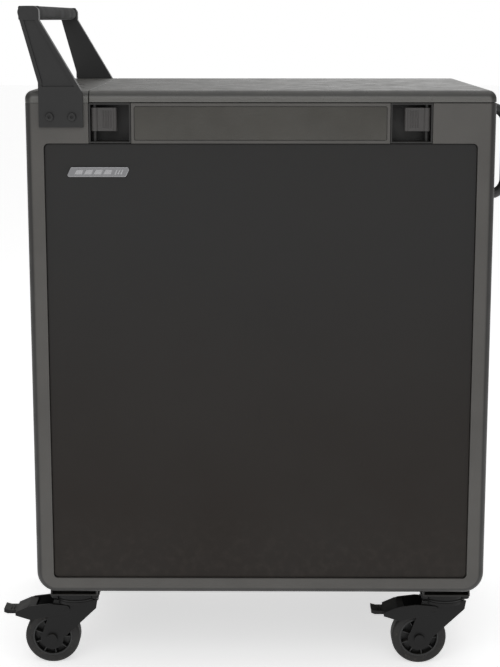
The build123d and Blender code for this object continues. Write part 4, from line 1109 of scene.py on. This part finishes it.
class FeederOperator(bpy.types.Operator):
    """Hopper, pocket wheel, feed gearmotor and drop tube"""
    bl_idname = "ball_machine.feeder"
    bl_label = "Hopper and feeder"

    def execute(self, context):
        eased("hopper_tub", "hopper_sheet", formed_sheet(), choices().eased_edge)
        eased("feed_carousel", "pocket_wheel", ivory_moulding(), choices().eased_edge)
        eased("feed_gearmotor", "feed_gearbox", zinc_plate(), 0.6 * MM)
        repaint("drop_tube", pipe_moulding())
        top = corners("feed_carousel")[1].z
        place = joint_place("carousel_spin")
        cap = lathe("pocket_wheel_cap", dome_profile(6.5 * MM, 0.9 * MM), black_oxide(),
                    UP, 32, (place.x, place.y, top - 0.95 * MM))
        fitting(cap, "feed_carousel")
        return {"FINISHED"}


class ThrowingHeadOperator(bpy.types.Operator):
    """Turntable, tilting plates, motors, ball scoop, muzzle and the two throwing wheels"""
    bl_idname = "ball_machine.throwing_head"
    bl_label = "Throwing head"

    def execute(self, context):
        zinc, alloy, enamel = zinc_plate(), cast_alloy(), motor_enamel()
        repaint("turntable_base", zinc)
        eased("turntable_yoke", "yoke_plate", zinc, 0.6 * MM)
        eased("elevation_gearmotor", "tilt_gearbox", zinc, 0.6 * MM)
        eased("head_plates", "head_side_plates", zinc, 0.5 * MM)
        eased("wheel_motors", "motor_cans", enamel, 0.6 * MM)
        eased("ball_scoop", "ball_channel", ivory_moulding(), 0.5 * MM)
        repaint("muzzle", black_moulding())
        for level in ("upper", "lower"):
            repaint(level + "_wheel_tyre", throwing_tread())
            repaint(level + "_wheel_hub", alloy)
            centre = joint_place(level + "_wheel_spin")
            steel = black_oxide()
            bolts = socket_screw(level + "_hub_bolts", 2.2 * MM, 1.6 * MM, steel, -SIDEWAYS)
            bolts.data.transform(Matrix.Translation(mm(11, 0, 0)))
            bolts.data.transform(Matrix.Rotation(math.pi / 2, 4, "X").inverted())
            fan(bolts, 5, math.radians(36), math.radians(72), (math.pi / 2, 0.0, 0.0),
                (centre.x, -25 * MM, centre.z), steel)
            fitting(bolts, level + "_wheel_hub")
            cap_y = corners("wheel_motors")[1].y
            slots = rounded_block(level + "_motor_slots", mm(14, -1.4, -0.2), mm(26, 1.4, 0.5),
                                  0.2 * MM, black_moulding(), 1)
            fan(slots, 8, 0.0, math.radians(45), (-math.pi / 2, 0.0, 0.0), (centre.x, cap_y, centre.z),
                black_moulding())
            fitting(slots, "wheel_motors")
        return {"FINISHED"}


class BatteryOperator(bpy.types.Operator):
    """The sealed battery with its brass posts and filler caps"""
    bl_idname = "ball_machine.battery"
    bl_label = "Battery"

    def execute(self, context):
        eased("battery", "sealed_battery", battery_case(), 0.8 * MM)
        low, high = corners("battery")
        brass = brass_post()
        post = lathe("battery_posts", dome_profile(4.5 * MM, 1.2 * MM), brass, UP, 24)
        inset, half_gap, sunk = mm(25, 43.75, 1.25)
        row(post, 2, (high.x - inset, -half_gap, high.z - sunk), (0, 2 * half_gap, 0), brass)
        fitting(post, "battery")
        cap = lathe("battery_vents", dome_profile(8 * MM, 1.6 * MM), battery_case(), UP, 28)
        inset, half_row, step, sunk = mm(48, 65, 26, 12)
        row(cap, 6, (low.x + inset, -half_row, high.z - sunk), (0, step, 0), battery_case())
        fitting(cap, "battery")
        return {"FINISHED"}


class CastersOperator(bpy.types.Operator):
    """The four braked swivel casters"""
    bl_idname = "ball_machine.casters"
    bl_label = "Casters"

    def execute(self, context):
        steel, edge = caster_steel(), caster_edge_highlight()
        core, tread = caster_core_moulding(), rolling_tread()
        rib_out, seal_height, ridge_reach, ridge_height, ridge_step = mm(2.8, 96.2, 91.5, 76.5, 4)
        # The eased edges of the plates, forks and pedals take the lighter edge paint, a painted highlight.
        eased("caster_plates", "swivel_plates", steel, 0.5 * MM, edge)
        for caster in CASTERS:
            eased(caster + "_caster_fork", caster + "_fork_pressing", steel, 0.6 * MM, edge)
            eased(caster + "_caster_pedal", caster + "_brake_pressing", steel, 0.5 * MM, edge)
            repaint(caster + "_caster_tyre", tread)
            eased(caster + "_caster_core", caster + "_wheel_core", core, 0.5 * MM)
            axle, swivel = joint_place(caster + "_wheel_roll"), joint_place(caster + "_swivel_turn")
            for side in (-1, 1):
                half = "far" if side > 0 else "near"
                rib = rounded_block(f"{caster}_core_ribs_{half}", mm(8.6, -0.9, 0), mm(25.4, 0.9, 9),
                                    0.4 * MM, core, 1)
                fan(rib, 9, 0.0, math.radians(40), (-side * math.pi / 2, 0.0, 0.0),
                    (axle.x, axle.y + side * rib_out, axle.z), core)
                fitting(rib, caster + "_caster_core")
            section = [mm(27.4, -1), mm(30.6, -1), mm(31.4, 1), mm(27.4, 1.6)]
            seal = lathe(caster + "_race_seal", section, steel, UP, 48, (swivel.x, swivel.y, seal_height))
            fitting(seal, "caster_plates")
            ridge = rounded_block(caster + "_pedal_ridges", mm(-0.8, -10, 0), mm(0.8, 10, 1.0),
                                  0.35 * MM, steel, 1)
            row(ridge, 2, (swivel.x - ridge_reach, swivel.y, ridge_height), (ridge_step, 0, 0), steel)
            fitting(ridge, caster + "_caster_pedal")
        return {"FINISHED"}


class StageOperator(bpy.types.Operator):
    """A pale floor, soft studio light and the camera"""
    bl_idname = "ball_machine.stage"
    bl_label = "Stage"

    def execute(self, context):
        scene, user = context.scene, context.scene.ball_machine_stage
        half = user.floor_size / 2
        paint = Finish("floor_white", user.floor_color, 0.9, Emission_Color=(1, 1, 1, 1),
                       Emission_Strength=user.floor_glow)
        scuffs = paint.noise(0.4, 3.0)
        paint.feed("Base Color", paint.mix(scuffs, shade(user.floor_color, 0.985), user.floor_color))
        floor = new_piece("studio_floor",
                          [(-half, -half, 0), (half, -half, 0), (half, half, 0), (-half, half, 0)],
                          [(0, 1, 2, 3)], paint.material)
        self.surround(scene, user)
        middle, headroom = (0, 0, 0.5), 1.9
        self.lamp("key_light", user.key_power, (2.6, 1.8), (-0.4, -2.6, 2.1), middle)
        self.lamp("top_light", user.top_power, (3.0, 3.0), (0.2, 0.2, CAD_BOX[1].z + headroom), middle)
        camera = in_scene("camera", bpy.data.cameras.new("camera"))
        camera.data.lens = user.lens
        camera.data.sensor_width = 36.0
        camera.data.clip_end = 200.0
        camera.location = (0, -user.camera_distance, user.camera_height)
        camera.rotation_euler = (math.pi / 2 - user.camera_pitch, 0, user.camera_yaw)
        scene.camera = camera
        scene.view_settings.view_transform = "Standard"
        return {"FINISHED"}

    def lamp(self, name, power, size, place, target):
        """A soft rectangular light that looks at a target."""
        data = bpy.data.lights.new(name, "AREA")
        data.shape = "RECTANGLE"
        data.size, data.size_y = size
        data.energy = power
        light = in_scene(name, data)
        light.location = place
        light.rotation_euler = (Vector(target) - Vector(place)).to_track_quat("-Z", "Y").to_euler()

    def surround(self, scene, user):
        """White to the camera, otherwise a grey sky, dark to the sides, with a bright window behind."""
        world = bpy.data.worlds.new("studio")
        world.use_nodes = True
        scene.world = world
        network = Network(world.node_tree)
        world.node_tree.nodes.clear()
        ray = network.add("ShaderNodeLightPath", output="Is Camera Ray")
        place = network.add("ShaderNodeTexCoord", output="Generated")
        x, y, z = [network.add("ShaderNodeSeparateXYZ", values={0: place},
                               output=index) for index in range(3)]
        window = y.band(0.6, 0.95) * (1 - z.band(0.1, 0.5)) * (x.band(-0.15, 0.12) * 1.3 - 0.45)
        strength = (1 - x.size().band(0.35, 0.95) * 0.85 + window) * user.ambient
        soft = network.add("ShaderNodeBackground", values={"Color": (1, 1, 1, 1), "Strength": strength})
        white = network.add("ShaderNodeBackground", values={"Color": (1, 1, 1, 1), "Strength": 1.0})
        both = network.add("ShaderNodeMixShader", values={0: ray, 1: soft, 2: white})
        outlet = world.node_tree.nodes.new("ShaderNodeOutputWorld")
        world.node_tree.links.new(both.socket, outlet.inputs[0])


OPERATORS = (CabinetOperator, LidOperator, PushHandleOperator, GrabHandleOperator, LatchesOperator,
             HingesOperator, BadgeOperator, ControlsOperator, PortOperator, FeederOperator,
             ThrowingHeadOperator, BatteryOperator, CastersOperator, StageOperator)


class BallMachinePanel(bpy.types.Panel):
    """Sizes, colours and one button for each group of pieces"""
    bl_idname = "VIEW3D_PT_ball_machine"
    bl_label = "Ball Machine"
    bl_space_type = "VIEW_3D"
    bl_region_type = "UI"
    bl_category = "Ball Machine"

    def draw(self, context):
        for group in (context.scene.ball_machine, context.scene.ball_machine_stage):
            for name in group.bl_rna.properties.keys():
                if name not in ("rna_type", "name"):
                    self.layout.prop(group, name)
        for operator in OPERATORS:
            self.layout.operator(operator.bl_idname)


CLASSES = (BallMachineChoices, BallMachineStage, *OPERATORS, BallMachinePanel)


def register():
    for cls in CLASSES:
        bpy.utils.register_class(cls)
    bpy.types.Scene.ball_machine = bpy.props.PointerProperty(type=BallMachineChoices)
    bpy.types.Scene.ball_machine_stage = bpy.props.PointerProperty(type=BallMachineStage)


def unregister():
    del bpy.types.Scene.ball_machine_stage
    del bpy.types.Scene.ball_machine
    for cls in reversed(CLASSES):
        bpy.utils.unregister_class(cls)


def main():
    register()
    for operator in OPERATORS:
        group, name = operator.bl_idname.split(".")
        getattr(getattr(bpy.ops, group), name)()


if __name__ == "__main__":
    main()
